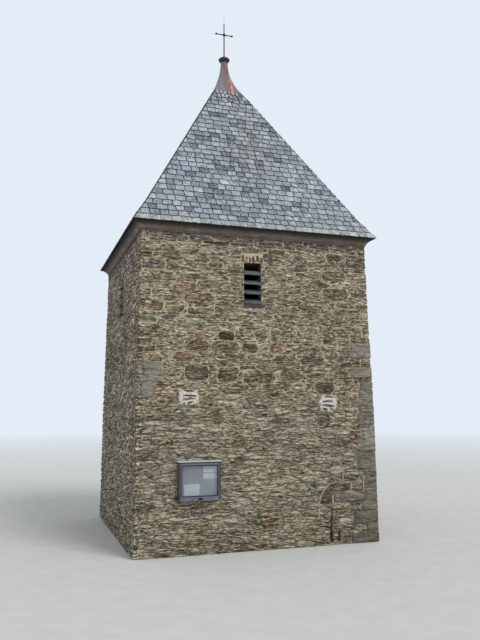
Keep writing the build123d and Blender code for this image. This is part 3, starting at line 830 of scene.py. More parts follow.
def stone_colour(side, u, z, rng):
    """A stone's colour by its place: worn on the lower stage, dusky and painted lighter on the left face, greener
    near the ground.
    """
    palette = WORN if rng.random() < unit((3.0 - z) / 0.5) else SANDY
    if side == LEFT and rng.random() < 0.6:
        palette = DUSKY
    colour = vary(rng.choice(palette), rng, 0.34 if side == LEFT else 0.18)
    colour = scaled(colour, 1 + 0.22 * noise.noise(Vector((u * 0.8, z * 0.9, side * 5.1))))
    # Lower stones are made lighter; on the left face, which the sun misses, stones are made lighter still, less so
    # towards the top of the upper stage: painted light
    if z < WAIST_Z:
        colour = scaled(colour, 1.56 if side == LEFT else 1.38)
    elif side == LEFT:
        dim = 0.12 * min(1.0, (z - WAIST_Z) / 2.5)
        colour = tuple(c * (level - dim) for c, level in zip(colour, (1.14, 1.13, 1.21)))
    return blended(unit((0.8 - z) / 0.8) * 0.35, colour, DAMP_GREEN)


def reserved(side, corner_stones):
    """Outlines that the rubble keeps clear of: openings, patches and cracks, and apart from them the corners."""
    left, right = OPENING_SHIFT[side] - OPENING_HALF, OPENING_SHIFT[side] + OPENING_HALF
    inner = [box_outline(left, right, SILL_Z - 0.05, LOUVRE_HEAD_Z),
             box_outline(left - UPRIGHT_LAP, right + UPRIGHT_LAP, LOUVRE_HEAD_Z, UPRIGHTS_ROOM)]
    if side == BACK:
        inner.append(pointed_outline())
    if side == FRONT:
        inner.extend(box_outline(*patch) for patch in PATCHES)
        for width, path in CRACKS:
            left, right, low, high = spans(path)
            aside, over = width * 0.3, width * 0.2
            inner.append(box_outline(left - aside, right + aside, low - over, high + over))
    corners = []
    for low, high, reach, _, _ in corner_stones[side]:
        edge = outer_half((low + high) / 2)
        corners.append(box_outline(edge - reach, edge + 0.1, low, high))
    for low, high, _, reach, _ in corner_stones[(side - 1) % 4]:
        edge = outer_half((low + high) / 2)
        corners.append(box_outline(-edge - 0.1, -edge + reach, low, high))
    return inner, corners


def lay_rubble(heap, side, inner, corners, rng):
    """Stones that are scattered and grown until they meet, with the marked ones set among them."""
    blocks = [spans(outline) for outline in inner]
    band = box_outline(-HEAD_HALF, HEAD_HALF, FLAT_COURSES[0], HEAD_Z)
    for low, high, stretch, sizes, gaps, stands, rough in STAGES:
        reach = outer_half(high) - 0.12
        zone = (-reach, reach, low, high)
        marked = [stone for stone in MARKED if low <= stone[2] < high] if side == FRONT else []
        fixed = [((left + right) / 2, (foot + head) / 2, ((right - left) / stretch + head - foot) / 4)
                 for left, right, foot, head, _ in marked]
        shapes = [uneven_outline(*stone[:4], rng) for stone in marked]
        field = scatter(zone, stretch, sizes, fixed, rng)
        parts = []
        for number, site in enumerate(field.sites):
            patch = grown(site, zone, field)
            if number < len(marked):
                parts.append((shapes[number], marked[number][4]))
            if len(patch) > 2:
                near = [outline for outline in inner + corners + shapes + [band] if beside(outline, patch)]
                parts.extend((stone, None) for stone in outside(patch, near))
        for stone, shade in parts:
            left, right, foot, head = spans(stone)
            if min(right - left, head - foot) < LEAST_SPAN or area(stone) < LEAST_AREA:
                continue
            u, z = (left + right) / 2, (foot + head) / 2
            gap, proud = rng.uniform(*gaps), rng.uniform(*stands)
            colour = stone_colour(side, u, z, rng)
            if shade is not None:
                colour = vary(dulled(paint(*shade)), rng, 0.05, 0.01)
            left, right, foot, head = BEHIND_CASE
            flat = side == FRONT and left < u < right and foot < z < head
            face = FLAT_FACE if flat else (proud, rough, 1.0)
            lay_stone(heap, side, stone, gap, *face[:2], colour, rng, stillness(u, z, blocks), face[2], True)


def lay_flat_courses(heap, side, reserves, rng):
    """Long flat stones in level courses under the cornice."""
    for low, high in zip(FLAT_COURSES, FLAT_COURSES[1:]):
        left = -HEAD_HALF
        while left < HEAD_HALF:
            right = min(left + rng.uniform(0.22, 0.62), HEAD_HALF)
            lean = rng.uniform(-0.008, 0.008)
            stone = [(left, low + lean), (right, low - lean), (right, high), (left, high)]
            shade = vary(rng.choice(FLAT_SHADES), rng, 0.10)
            if side == FRONT and left < DARK_FLAT_X < right and low == FLAT_COURSES[0]:
                shade = DARK_FLAT
            for part in outside(stone, [outline for outline in reserves if beside(outline, stone)]):
                lay_stone(heap, side, part, 0.001, rng.uniform(0.004, 0.010), 0.004, shade, rng, 1.0)
            left = right


def lay_patch_stones(heap, rng):
    """Flat stones in rows inside the lime patches, the outer rows shorter than the others."""
    for left, right, low, high in PATCHES:
        middle, half = (left + right) / 2, (right - left) / 2
        pitch = (high - low) / PATCH_ROWS
        for row in range(PATCH_ROWS):
            z = low + pitch * (row + 0.5) + rng.uniform(-0.010, 0.010)
            reach = half * (0.93 if row in (1, 2) else 0.68)
            a, b = middle - reach + rng.uniform(-0.04, 0.04), middle + reach + rng.uniform(-0.04, 0.04)
            lean, tall = rng.uniform(-0.012, 0.012), rng.uniform(0.021, 0.029)
            joint = a + (b - a) * rng.uniform(0.3, 0.7)
            for c, d in ((a, b),) if row else ((a, joint), (joint, b)):
                worn = (d - c) * rng.uniform(0.16, 0.34)
                stone = [(c, z - lean), (c + worn, z - tall - lean), (d - worn, z - tall + lean),
                         (d, z + lean), (d - worn, z + tall + lean), (c + worn, z + tall - lean)]
                lay_stone(heap, FRONT, stone, 0.002, 0.012, 0.006, vary(PATCH_STONE, rng, 0.2), rng, 1.0)


def lay_uprights(heap, side, rng):
    """Upright stones over the opening, dark and light by turns."""
    start, end = OPENING_SHIFT[side] - OPENING_HALF, OPENING_SHIFT[side] + OPENING_HALF
    left, light = start - 0.035, False
    while left < end + 0.02:
        wide = rng.uniform(0.030, 0.052)
        outline = box_outline(left, min(left + wide, end + UPRIGHT_LAP),
                              LOUVRE_HEAD_Z + rng.uniform(-0.034, 0.004), UPRIGHTS_TOP - rng.uniform(0, 0.07))
        proud = rng.uniform(0.010, 0.018)
        shade = vary(LIGHT_UPRIGHT if light else DARK_UPRIGHT, rng, 0.2)
        lay_stone(heap, side, outline, 0.002, proud, 0.006, shade, rng, 1.0)
        left += wide
        light = not light


def lay_wall(side, corner_stones, rng):
    """The stones of one face: rubble round its openings and corners, level courses on top, and uprights."""
    heap = Heap()
    inner, corners = reserved(side, corner_stones)
    lay_rubble(heap, side, inner, corners, rng)
    lay_flat_courses(heap, side, inner + corners, rng)
    if side == FRONT:
        lay_patch_stones(heap, rng)
    lay_uprights(heap, side, rng)
    return heap


def stone_look(name, layers, worked=0.0):
    """Rough stone in thin beds: each one its own colour and tilt, with dark seams, chips, pits and pale grains."""
    look = Look(name, 0.92, 0.18)
    tint, seed = look.tint()
    axes = look.axes(look.place())
    shift = look.math("MULTIPLY", seed, 37.0)
    lean = look.math("MULTIPLY", look.math("SUBTRACT", seed, 0.5), 0.4)
    tilted = look.plus(axes[Z], look.math("ADD", axes[X], axes[Y]), lean)
    shifted = {i: look.math("ADD", value, shift) for i, value in enumerate((axes[X], axes[Y], tilted))}
    bedded = look.add("CombineXYZ", shifted).outputs[0]

    def stretched(along, up):
        return look.add("Mapping", {"Vector": bedded, "Scale": (along, along * 0.65, up)}).outputs[0]

    worn = look.range(axes[Z], 2.5, 3.1, 1.0, 0.0)
    strata = look.noise(stretched(3.4, layers), 1.0, 5.0, 0.62, 0.3)
    chips = look.noise(stretched(13.0, 42.0), 1.0, 3.0, 0.7)
    folds = look.noise(stretched(2.0, 18.0), 1.0, 3.0, 0.6, 0.2)
    fine = look.noise(stretched(80.0, 110.0), 1.0, 3.0, 0.7)
    share = 1.0 - worked
    beds = look.ramp(strata, (0.34, (0.40, 0.39, 0.38)), (0.49, (1.0, 1.0, 1.0)), (0.64, (1.55, 1.53, 1.49)))
    marks = look.ramp(chips, (0.38, (0.26, 0.25, 0.24)), (0.50, (1.0, 1.0, 1.0)), (0.61, (1.80, 1.78, 1.74)))
    colour = look.times(look.times(tint, beds, share), marks, share)
    seam = look.math("ABSOLUTE", look.math("SUBTRACT", folds, 0.5))
    seam = look.range(seam, 0.012, 0.050, 0.9 - 0.9 * worked, 0.0)
    colour = look.shade(seam, colour, (0.28, 0.27, 0.26))
    rust = look.range(look.noise(bedded, 9.0, 4.0, 0.6), 0.56, 0.72, 0.0, 0.25)
    colour = look.shade(rust, colour, (1.25, 0.97, 0.72))
    # The lower wall is weathered: dark streaks along its beds are painted shade for its hollows, and nothing on it
    # is bright
    streak = look.noise(look.place((3.6, 2.6, 30.0)), 1.0, 5.0, 0.7, 0.4)
    band = look.ramp(streak, (0.38, (0.40, 0.39, 0.37)), (0.48, (1.0, 1.0, 0.99)), (0.66, (1.20, 1.19, 1.16)))
    colour = look.shade(worn, colour, band)
    green = look.add("SeparateColor", {0: colour}).outputs[1]
    glare = look.math("MULTIPLY", look.range(green, 0.34, 0.66, 0.0, 0.7), worn)
    colour = look.mix(glare, colour, paint(168, 160, 143))
    # The left face is speckled
    flecks = look.noise(stretched(19.0, 36.0), 1.0, 2.0, 0.6)
    speckled = look.ramp(flecks, (0.40, (0.30, 0.29, 0.28)), (0.50, (1.0, 1.0, 1.0)), (0.58, (1.60, 1.58, 1.54)))
    colour = look.shade(look.range(axes[X], -2.38, -2.30, 0.9, 0.0), colour, speckled)
    colour = look.times(colour, (1.05, 1.045, 1.06))
    colour = look.mix(look.range(fine, 0.58, 0.68, 0.0, 0.4), colour, paint(184, 176, 160))
    pit = look.range(look.noise(stretched(26.0, 60.0), 1.0, 2.0), 0.30, 0.40, 0.6, 0.0)
    colour = look.mix(pit, colour, paint(58, 52, 44))
    relief = look.plus(look.plus(strata, chips, 0.7), fine, 0.25)
    relief = look.math("SUBTRACT", relief, look.math("MULTIPLY", seam, 0.5))
    return look.finish(colour, relief, 1.0, 0.016 - 0.010 * worked)


def granite_look(name, base):
    """Dressed granite with dark and pale grains, stained in clouds."""
    look = Look(name, 0.85, 0.25)
    spot = look.place()
    grain = look.cells(spot, 150.0, output="Color")
    spots = look.add("SeparateColor", {0: grain}).outputs[0]
    cloud = look.noise(spot, 4.0, 5.0, 0.6)
    colour = look.ramp(spots, (0.1, scaled(base, 0.55)), (0.35, base), (0.9, scaled(base, 1.45)))
    stain = look.ramp(cloud, (0.3, (0.72, 0.72, 0.68)), (0.6, (1.05, 1.04, 1.0)))
    return look.finish(look.times(colour, stain), look.plus(cloud, spots, 0.15), 0.6, 0.008)


def mortar_look():
    """Lime mortar: sandy, paler and cleaner on the upper wall, stained near the ground, and painted dark inside
    the tower as shade.
    """
    look = Look("lime_mortar", 0.95, 0.1)
    spot = look.place()
    axes = look.axes(spot)
    cloud = look.noise(spot, 1.6, 5.0, 0.6)
    sand = look.noise(spot, 60.0, 4.0, 0.7)
    places = (0.3, 0.5, 0.72)
    clean = look.ramp(cloud, *zip(places, paints((166, 155, 133), (190, 179, 156), (210, 200, 180))))
    old = look.ramp(cloud, *zip(places, paints((110, 102, 86), (146, 138, 119), (172, 165, 147))))
    colour = look.mix(look.range(look.plus(axes[Z], cloud, 0.8), 2.7, 3.6), old, clean)
    # Painted shade: the mortar inside the tower is darkened
    aside = look.math("MAXIMUM", look.math("ABSOLUTE", axes[X]), look.math("ABSOLUTE", axes[Y]))
    colour = look.mix(look.range(aside, 2.36, 2.40, 0.85, 0.0), colour, paint(52, 49, 43))
    damp = look.range(look.plus(axes[Z], cloud, 0.7), 0.2, 1.1, 0.5, 0.0)
    colour = look.mix(damp, colour, paint(88, 90, 64))
    grit = look.ramp(sand, (0.35, (0.8, 0.8, 0.79)), (0.6, (1.1, 1.1, 1.09)))
    return look.finish(look.times(colour, grit), look.plus(cloud, sand, 0.3), 0.8, 0.012)


def squareness(cosine, sine, power):
    """What a radius is divided by to draw a circle out towards a square, more so at a high power."""
    return (abs(cosine) ** power + abs(sine) ** power) ** (1 / power)


def lay_fresh_lime(rng):
    """The two refilled patches, a thin skin with a ragged rim between their stones."""
    heap = Heap()
    for left, right, low, high in PATCHES:
        middle = ((left + right) / 2, (low + high) / 2)
        half = ((right - left) / 2 + 0.01, (high - low) / 2 + 0.005)
        seed = rng.random() * 20
        rings = []
        for grow, out in ((1.0, -0.006), (0.98, 0.003), (0.88, 0.006), (0.5, 0.006)):
            ring = []
            for i in range(PATCH_POINTS):
                angle = math.tau * i / PATCH_POINTS
                cosine, sine = math.cos(angle), math.sin(angle)
                reach = 1 / squareness(cosine, sine, 2.4)
                reach *= 0.97 + 0.24 * noise.noise(Vector((cosine * 3.2, sine * 3.2, seed)))
                reach += 0.20 * noise.noise(Vector((cosine * 9, sine * 9, seed + 4)))
                ring.append(on_face(FRONT, middle[0] + half[0] * cosine * reach * grow, out,
                                    middle[1] + half[1] * sine * reach * grow))
            rings.append(ring)
        heap.rings(rings, FRESH_LIME, seed)
    return heap


def lay_joint(heap, path, width, out, rng):
    """A ridge of mortar, or a dark strip of painted shade for an open joint, along a line on the front."""
    seed = rng.random() * 20
    points = []
    for (ua, za), (ub, zb) in zip(path, path[1:]):
        length = math.hypot(ub - ua, zb - za)
        steps = max(1, round(length / JOINT_STEP))
        across = ((zb - za) / length, -(ub - ua) / length)
        for i in range(steps + (path[-1] == (ub, zb))):
            share = i / steps
            u, z = ua + (ub - ua) * share, za + (zb - za) * share
            wave = 0.009 * noise.noise(Vector((u * 12, z * 12, seed)))
            half = width / 2 * (1 + 0.9 * noise.noise(Vector((u * 17, z * 17, seed + 5))))
            height = out + out * 0.7 * noise.noise(Vector((u * 8, z * 8, seed + 9)))
            for reach, level in ((-half - 0.003, BEHIND), (-half, height), (half, height), (half + 0.003, BEHIND)):
                aside = reach + wave
                points.append(on_face(FRONT, u + across[0] * aside, level, z + across[1] * aside))
    heap.add(points, grid_faces(3, len(points) // 4 - 1), seed=seed / 20)


def build_joints():
    """The pale joints round a blocked arch at the lower right, and the open crack below it, drawn as a dark strip
    of painted shade.
    """
    rng = random.Random(23)
    pale, dark = Heap(), Heap()
    for path in ARCH_JOINTS:
        lay_joint(pale, path, 0.026, 0.025, rng)
    for width, path in CRACKS:
        lay_joint(dark, path, width, 0.007, rng)
    pale.build("arch_joints", "rubble_masonry", plain_look(
        "arch_lime", (0.36, paint(140, 132, 114)), (0.6, paint(186, 177, 158)), 24.0))
    # The crack is nearly black: painted shade inside the open joint
    dark.build("crack", "rubble_masonry", plain_look(
        "open_joint", (0.35, paint(34, 31, 25)), (0.65, paint(64, 59, 49)), 40.0, 4.0, 0.55,
        specular=0.05, distance=0.004))


def lay_mortar(side, material):
    """The wall with its outer faces drawn back, so that the stones' faces lie where the frame has the wall."""
    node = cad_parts[SIDES[side] + "_wall"]
    piece = bpy.data.objects.new(SIDES[side] + "_mortar", node.data.copy())
    piece.matrix_world = node.matrix_world
    for vertex in piece.data.vertices:
        spot = node.matrix_world @ vertex.co
        reach = outer_half(spot.z) - sunk(spot.z)
        spot.x = min(max(spot.x, -reach), reach)
        spot.y = min(max(spot.y, -reach), reach)
        vertex.co = node.matrix_world.inverted() @ spot
    piece.data.materials.clear()
    piece.data.materials.append(material)
    bpy.context.scene.collection.objects.link(piece)
    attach(piece, "tower")
    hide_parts(SIDES[side] + "_wall")


def build_walls():
    rng = random.Random(11)
    corner_stones = [corner_layers(corner, rng) for corner in range(4)]
    rubble = stone_look("rubble", 27.0)
    block = stone_look("dressed_stone", 16.0, 0.55)
    mortar = mortar_look()
    for side, name in enumerate(SIDES):
        lay_wall(side, corner_stones, random.Random(40 + side)).build(name + "_stones", "rubble_masonry", rubble)
        lay_mortar(side, mortar)
    for corner, name in enumerate(("front_right", "back_right", "back_left", "front_left")):
        for dressed, word, look in ((False, "quoins_", rubble), (True, "blocks_", block)):
            layers = [layer for layer in corner_stones[corner] if layer[4] == dressed]
            if layers:
                heap = Heap()
                lay_corner(heap, corner, layers, dressed, random.Random(70 + corner))
                heap.build(word + name, "rubble_masonry", look)
    lay_fresh_lime(rng).build("fresh_lime", "rubble_masonry", plain_look(
        "fresh_lime", (0.36, paint(166, 161, 150)), (0.56, paint(226, 223, 216)), 30.0, strength=0.6))
    build_joints()


# Slate roof

SLATES = paints((148, 158, 171), (160, 169, 181), (140, 149, 161), (168, 176, 186), (154, 160, 173),
                (147, 159, 166), (134, 143, 155), (176, 183, 191))
DARK_SLATES = paints((92, 101, 114), (100, 107, 122), (96, 110, 116), (104, 106, 120))
EAVES_SLATE, BROWN_STREAK, MOSS = paint(174, 182, 184), paint(138, 130, 122), paint(120, 134, 124)
RUST = paint(176, 142, 124)
GAUGE, LAP, COURSES_END = 0.1545, 0.030, 4.60  # rise of a course, its lap, and how far up the slope courses go
RAGGED_FROM = 3.9  # from here up the slates lie askew, and rust runs down the front


def slate_colour(x, t, rng):
    """A slate's colour by its place: pale at the eaves, brown right of the middle, greener low down."""
    colour = rng.choice(DARK_SLATES if rng.random() < 0.10 else SLATES)
    colour = vary(colour, rng, 0.14, 0.02)
    if t < 0.1:
        colour = vary(EAVES_SLATE, rng, 0.22)
    streak = math.exp(-((x - 0.12 - 0.25 * noise.noise(Vector((t * 0.8, 3, 1)))) / 0.45) ** 2)
    streak *= max(0.0, 1 - abs(t - 2.4) / 2.0) * 0.45
    moss = max(0.0, 1 - t) * 0.35 * (0.5 + noise.noise(Vector((x * 0.9, t, 5))))
    return blended(moss, blended(streak, colour, BROWN_STREAK), MOSS)


def lay_slate(heap, side, left, right, low, high, lift, thick, skew, colour, rng):
    """One slate: cut at the hips, with a riven lower edge, resting on the course below, its rim painted dark as
    shade.
    """
    over = -0.012 if side in (FRONT, BACK) else 0.010
    bottom = [(left + (right - left) * i / 4, low + rng.uniform(-0.004, 0.004)) for i in range(5)]
    for end in (0, 4):
        bottom[end] = (bottom[end][0], bottom[end][1] + rng.choice((0.0, 0.0, 0.006, 0.012)))
    outline = bottom + [(right, high), (left, high)]
    middle = ((left + right) / 2, (low + high) / 2)
    cosine, sine = math.cos(skew), math.sin(skew)
    outline = [(middle[0] + (x - middle[0]) * cosine - (t - middle[1]) * sine,
                middle[1] + (x - middle[0]) * sine + (t - middle[1]) * cosine) for x, t in outline]
    half, _, level, _ = slope_at(middle[1])
    for way in (1, -1):
        outline = cut(outline, (way * (half + over), middle[1]), (way, level))[0]
        if len(outline) < 3:
            return
    if area(outline) < 0.0015:
        return
    tops, unders = [], []
    drop = rng.uniform(-0.0015, 0.0015)
    for x, t in outline:
        down = 1 - unit((t - low) / (high - low))
        level = lift * down + 0.001 + drop * down * (x - middle[0]) / 0.1
        tops.append(on_slope(side, x, t, level))
        unders.append(on_slope(side, x, t, level - thick))
    count = len(outline)
    seed = rng.random()
    heap.add(tops, [tuple(range(count))], colour, seed)
    # Each slate's rim is a tenth of its colour: painted shade along the foot of every course
    rim = [(i, count + i, count + (i + 1) % count, (i + 1) % count) for i in range(count)]
    heap.add(tops + unders, rim, scaled(colour, 0.10), seed)


def lay_roof(side, rng):
    """A double course at the eaves, then every course up to the cap."""
    heap = Heap()
    x = -EAVE_HALF
    while x < EAVE_HALF:
        width = rng.uniform(0.15, 0.25)
        lay_slate(heap, side, x, x + width - 0.004, 0.006, 0.14, 0.002, 0.007, 0, vary(SLATES[2], rng, 0.1), rng)
        x += width
    row = 0
    low = 0.001
    while low < COURSES_END:
        high = low + GAUGE + LAP
        ragged = unit((low - RAGGED_FROM) / 0.45)
        reach = slope_at(low)[0] + 0.02
        x = -reach - (0.1 if row % 2 else 0.0) - rng.uniform(0, 0.06)
        while x < reach:
            width = rng.uniform(0.165, 0.225) * (1 - 0.5 * ragged)
            gap = rng.uniform(0.012, 0.021) + 0.010 * ragged
            skew = rng.gauss(0, 0.006 + 0.13 * ragged)
            nudge = rng.gauss(0, 0.003 + 0.016 * ragged)
            colour = vary(slate_colour(x + width / 2, low, rng), rng, 0.45 * ragged)
            if side == FRONT:
                rusty = math.exp(-((x + width / 2 - 0.08) / 0.06) ** 2) * unit((low - RAGGED_FROM) / 0.3) * 0.6
                colour = blended(rusty, colour, RUST)
            lift = 0.021 if row else 0.014
            lay_slate(heap, side, x, x + width - gap, low + nudge, high + nudge, lift, 0.017, skew, colour, rng)
            x += width
        low += GAUGE
        row += 1
    return heap


def slate_look(name, roof=True):
    """Riven slate: faint waves along the slope, pale lichen flecks on the roof, and darker stains."""
    look = Look(name, 0.62, 0.35)
    if roof:
        tint, seed = look.tint()
    else:
        seed = look.noise(look.place(), 3.0)
        tint = look.ramp(seed, (0.35, paint(88, 91, 92)), (0.65, paint(114, 116, 118)))
    shift = look.add("CombineXYZ", {0: seed, 1: seed, 2: seed}).outputs[0]
    far = look.add("VectorMath", {0: shift, 3: 41.0}, operation="SCALE").outputs[0]
    riven = look.noise(look.place(shift=far), 9.0, 6.0, 0.6, 0.8)
    fine = look.noise(look.place(), 70.0, 3.0, 0.6)
    waves = look.ramp(riven, (0.34, (0.5, 0.51, 0.54)), (0.5, (1, 1, 1)), (0.66, (1.35, 1.34, 1.31)))
    colour = look.times(tint, waves)
    if roof:
        fleck = look.range(look.noise(look.place(), 24.0, 5.0, 0.75), 0.54, 0.61, 0.0, 0.7)
        colour = look.mix(fleck, colour, paint(204, 210, 214))
    stain = look.range(look.noise(look.place((1, 1, 0.35)), 2.2), 0.5, 0.75, 0.0, 0.35)
    colour = look.shade(stain, colour, (0.82, 0.80, 0.78))
    look.set("Roughness", look.range(fine, 0.3, 0.7, 0.5, 0.8))
    return look.finish(colour, look.plus(riven, fine, 0.2), 0.5, 0.006)


def build_roof():
    slates = slate_look("roof_slates")
    # The slopes under the slates are near black: painted shade in the gaps between the slates
    gap_shade = plain_look("roof_gap_shade", (0.3, paint(34, 36, 40)), (0.7, paint(54, 56, 60)), 12.0, 4.0, 0.55,
                       grain=(1, 1, 0.4), roughness=0.9, strength=0.4, distance=0.004)
    for side, name in enumerate(SIDES):
        lay_roof(side, random.Random(90 + side)).build("slates_" + name, "roof_slate", slates, sharp=20)
        dress("roof_slope_" + name, gap_shade)


# Cap, knob and cross

CAP_ROWS, CAP_COLUMNS = 44, 96
CAP_EDGE = ((0.012, -0.004), (0.0, -0.012), (-0.008, -0.008), (-0.008, 0.004))  # how far in, and up, from its foot
SQUARE_POWER, ROUND_POWER = 16.0, 2
ROLL = 0.006  # height of the rolled edge
SHAFT_Z = round(side_of("cross_upright", LOW, Z) - 0.003, 4)
ARMS_Z = round((side_of("cross_arms", LOW, Z) + side_of("cross_arms", HIGH, Z)) / 2, 4)
SPIKE_Z = side_of("cross_spike", LOW, Z)
UPWARDS = (0, 0, 1)


def copper_look():
    """Weathered copper: mauve-grey, with a red-brown band and a painted highlight on the right of each face."""
    look = Look("cap_copper", 0.55, 0.3, 0.1)
    runs = look.noise(look.place((6, 6, 0.9)), 3.0, 5.0, 0.6, 0.3)
    cloud = look.noise(look.place(), 14.0, 5.0, 0.65)
    axes = look.axes(look.place())
    # The band and the painted highlight go straight down, a little right of the middle
    drop = look.range(axes[Z], CAP_Z, NECK_Z, 1.0, 0.0)
    across = look.plus(axes[X], look.math("SUBTRACT", runs, 0.5), 0.10)
    place = look.range(across, -0.25, 0.25)
    mauves = paints((136, 131, 141), (122, 112, 120), (136, 106, 107), (150, 104, 98), (174, 124, 104),
                    (216, 168, 142))
    # The palest stop is a painted highlight where the flare catches the light; the red-brown stops beside it are
    # the copper's own colour
    bare_and_highlight = look.ramp(place, *zip((0.20, 0.44, 0.54, 0.61, 0.66, 0.71), mauves))
    bare_and_highlight = look.mix(look.range(place, 0.73, 0.79), bare_and_highlight, paint(126, 125, 138))
    browns = paints((142, 134, 132), (118, 102, 97), (126, 98, 94), (100, 80, 82), (80, 69, 74))
    dull = look.ramp(place, *zip((0.32, 0.47, 0.56, 0.62, 0.70), browns))
    colour = look.mix(look.range(drop, 0.25, 0.62, 1.0, 0.0), bare_and_highlight, dull)
    wear = look.ramp(cloud, (0.3, (0.72, 0.72, 0.74)), (0.65, (1.15, 1.13, 1.12)))
    streaks = look.ramp(runs, (0.38, (0.72, 0.70, 0.70)), (0.5, (1, 1, 1)), (0.62, (1.2, 1.19, 1.19)))
    look.set("Roughness", look.range(cloud, 0.3, 0.7, 0.45, 0.7))
    return look.finish(look.times(look.times(colour, wear), streaks), look.math("ADD", runs, cloud), 0.3, 0.004)


def metal_look(name, dark, light, roughness=0.6, metallic=0.4, scale=20.0):
    """Dull metal between two colours, with fine wear."""
    look = Look(name, roughness, 0.4, metallic)
    cloud = look.noise(look.place(), scale, 5.0, 0.65)
    fine = look.noise(look.place(), scale * 6, 3.0, 0.6)
    wear = look.ramp(fine, (0.3, (0.86, 0.86, 0.86)), (0.7, (1.1, 1.1, 1.1)))
    colour = look.times(look.ramp(cloud, (0.3, paint(*dark)), (0.7, paint(*light))), wear)
    look.set("Roughness", look.range(fine, 0.3, 0.7, roughness - 0.12, roughness + 0.12))
    return look.finish(colour, look.plus(cloud, fine, 0.4), 0.3, 0.002)


def build_cap():
    """The flared cap: square at the skirt, round at the neck, with dressed hips and a rolled lower edge."""
    levels = [(CAP_HALF - inset, CAP_Z + up, SQUARE_POWER) for inset, up in CAP_EDGE]
    for row in range(CAP_ROWS + 1):
        rise = row / CAP_ROWS
        half = NECK_RADIUS + (CAP_HALF - NECK_RADIUS) * (1 - rise) ** 2
        power = ROUND_POWER + (SQUARE_POWER - ROUND_POWER) * (1 - rise) ** 2.2
        levels.append((half, CAP_Z + ROLL + (CAP_HEIGHT - ROLL) * rise, power))
    rings = []
    for half, z, power in levels:
        ring = []
        for column in range(CAP_COLUMNS):
            angle = math.tau * column / CAP_COLUMNS
            cosine, sine = math.cos(angle), math.sin(angle)
            hip = abs((angle % (math.pi / 2)) - math.pi / 4)
            welt = 0.006 * math.exp(-(hip / 0.05) ** 2) * min(1.0, (half - NECK_RADIUS) / 0.05)
            dent = 0.0035 * noise.noise(Vector((cosine * 2.5, sine * 2.5, z * 4)))
            reach = half / squareness(cosine, sine, power) + (welt + dent)
            ring.append((reach * cosine, reach * sine, z))
        rings.append(ring)
    heap = Heap()
    heap.rings(rings)
    heap.build("cap_sheet", "cap_copper", copper_look(), replaces=("copper_cap",), sharp=35)


def lathe(heap, profile, start, along, sides, rng=None):
    """A turned or forged bar: distances and radii along an axis, with slight hammer marks if it is forged."""
    axis = Vector(along).normalized()
    first = axis.orthogonal().normalized()
    second = axis.cross(first)
    rings = []
    for distance, radius in profile:
        ring = []
        for i in range(sides):
            angle = math.tau * i / sides
            mark = 1 + (0.035 * noise.noise(Vector((distance * 40, i * 1.7, 3))) if rng else 0)
            offset = (first * math.cos(angle) + second * math.sin(angle)) * radius * mark
            ring.append(tuple(Vector(start) + axis * distance + offset))
        rings.append(ring)
    heap.rings(rings, seed=rng.random() if rng else 0.5)


def ball(radius, middle, steps=10):
    return [(middle - radius * math.cos(math.pi * i / steps), max(0.0005, radius * math.sin(math.pi * i / steps)))
            for i in range(steps + 1)]


def taper(start, length, radius, loss, steps):
    """The even part of a bar after its first point, thinner towards its end."""
    return [(start + length * i / steps, radius - loss * i / steps) for i in range(1, steps + 1)]


def build_finial():
    """The mushroom knob, and the cross of forged bar with ball ends and a thin spike."""
    knob = Heap()
    lathe(knob, [(0.0, 0.088), (0.004, 0.094), (0.014, 0.095), (0.022, 0.091), (0.034, 0.102), (0.048, 0.122),
                 (0.062, 0.135), (0.077, 0.1395), (0.090, 0.1365), (0.105, 0.126), (0.121, 0.106), (0.136, 0.080),
                 (0.148, 0.052), (0.155, 0.028), (0.159, 0.020), (0.163, 0.001)], (0, 0, NECK_Z), UPWARDS, 48)
    metal = metal_look("knob_metal", (44, 34, 42), (82, 72, 80), 0.5, 0.3, 12.0)
    knob.build("knob", "cap_copper", metal, replaces=("finial_knob",), sharp=60)
    rng = random.Random(5)
    iron = metal_look("cross_iron", (24, 22, 24), (44, 38, 38), 0.7, 0.1, 30.0)
    upright = Heap()
    shaft = [(0.0, 0.024), (0.012, 0.026), (0.022, 0.022), (0.03, 0.015), *taper(0.03, 0.52, 0.0145, 0.0006, 14),
             (0.564, 0.020), (0.572, 0.023), (0.582, 0.020), (0.586, 0.015), (0.610, 0.015), (0.614, 0.020),
             (0.624, 0.023), (0.632, 0.020), (0.638, 0.0135), *taper(0.638, 0.227, 0.0135, 0.002, 8),
             (0.871, 0.016), (0.879, 0.017), (0.886, 0.012), (0.889, 0.001)]
    lathe(upright, shaft, (0, 0, SHAFT_Z), UPWARDS, 16, rng)
    upright.build("cross_shaft", "wrought_iron", iron, replaces=("cross_upright",), sharp=50)
    arms = Heap()
    arm = [(0.0, 0.0135), (0.016, 0.0135), (0.020, 0.019), (0.028, 0.021), (0.036, 0.019), (0.040, 0.013),
           *taper(0.040, 0.136, 0.013, 0.001, 6), (0.182, 0.016), (0.188, 0.0165), (0.193, 0.012),
           *(point for point in ball(0.026, 0.205) if point[0] > 0.1945)]
    for way in (1, -1):
        lathe(arms, arm, (0, 0, ARMS_Z), (way, 0, 0), 16, rng)
    arms.build("cross_bar", "wrought_iron", iron, replaces=("cross_arms",), sharp=50)
    spike = Heap()
    lathe(spike, [(0.0, 0.0062), (0.06, 0.0058), (0.12, 0.0048), (0.18, 0.0034), (0.235, 0.0014), (0.240, 0.0004)],
          (0, 0, SPIKE_Z), UPWARDS, 12, rng)
    steel = metal_look("spike_steel", (150, 152, 154), (186, 188, 190), 0.45, 0.6, 60.0)
    spike.build("cross_point", "spike_metal", steel, replaces=("cross_spike",))


# Cornice

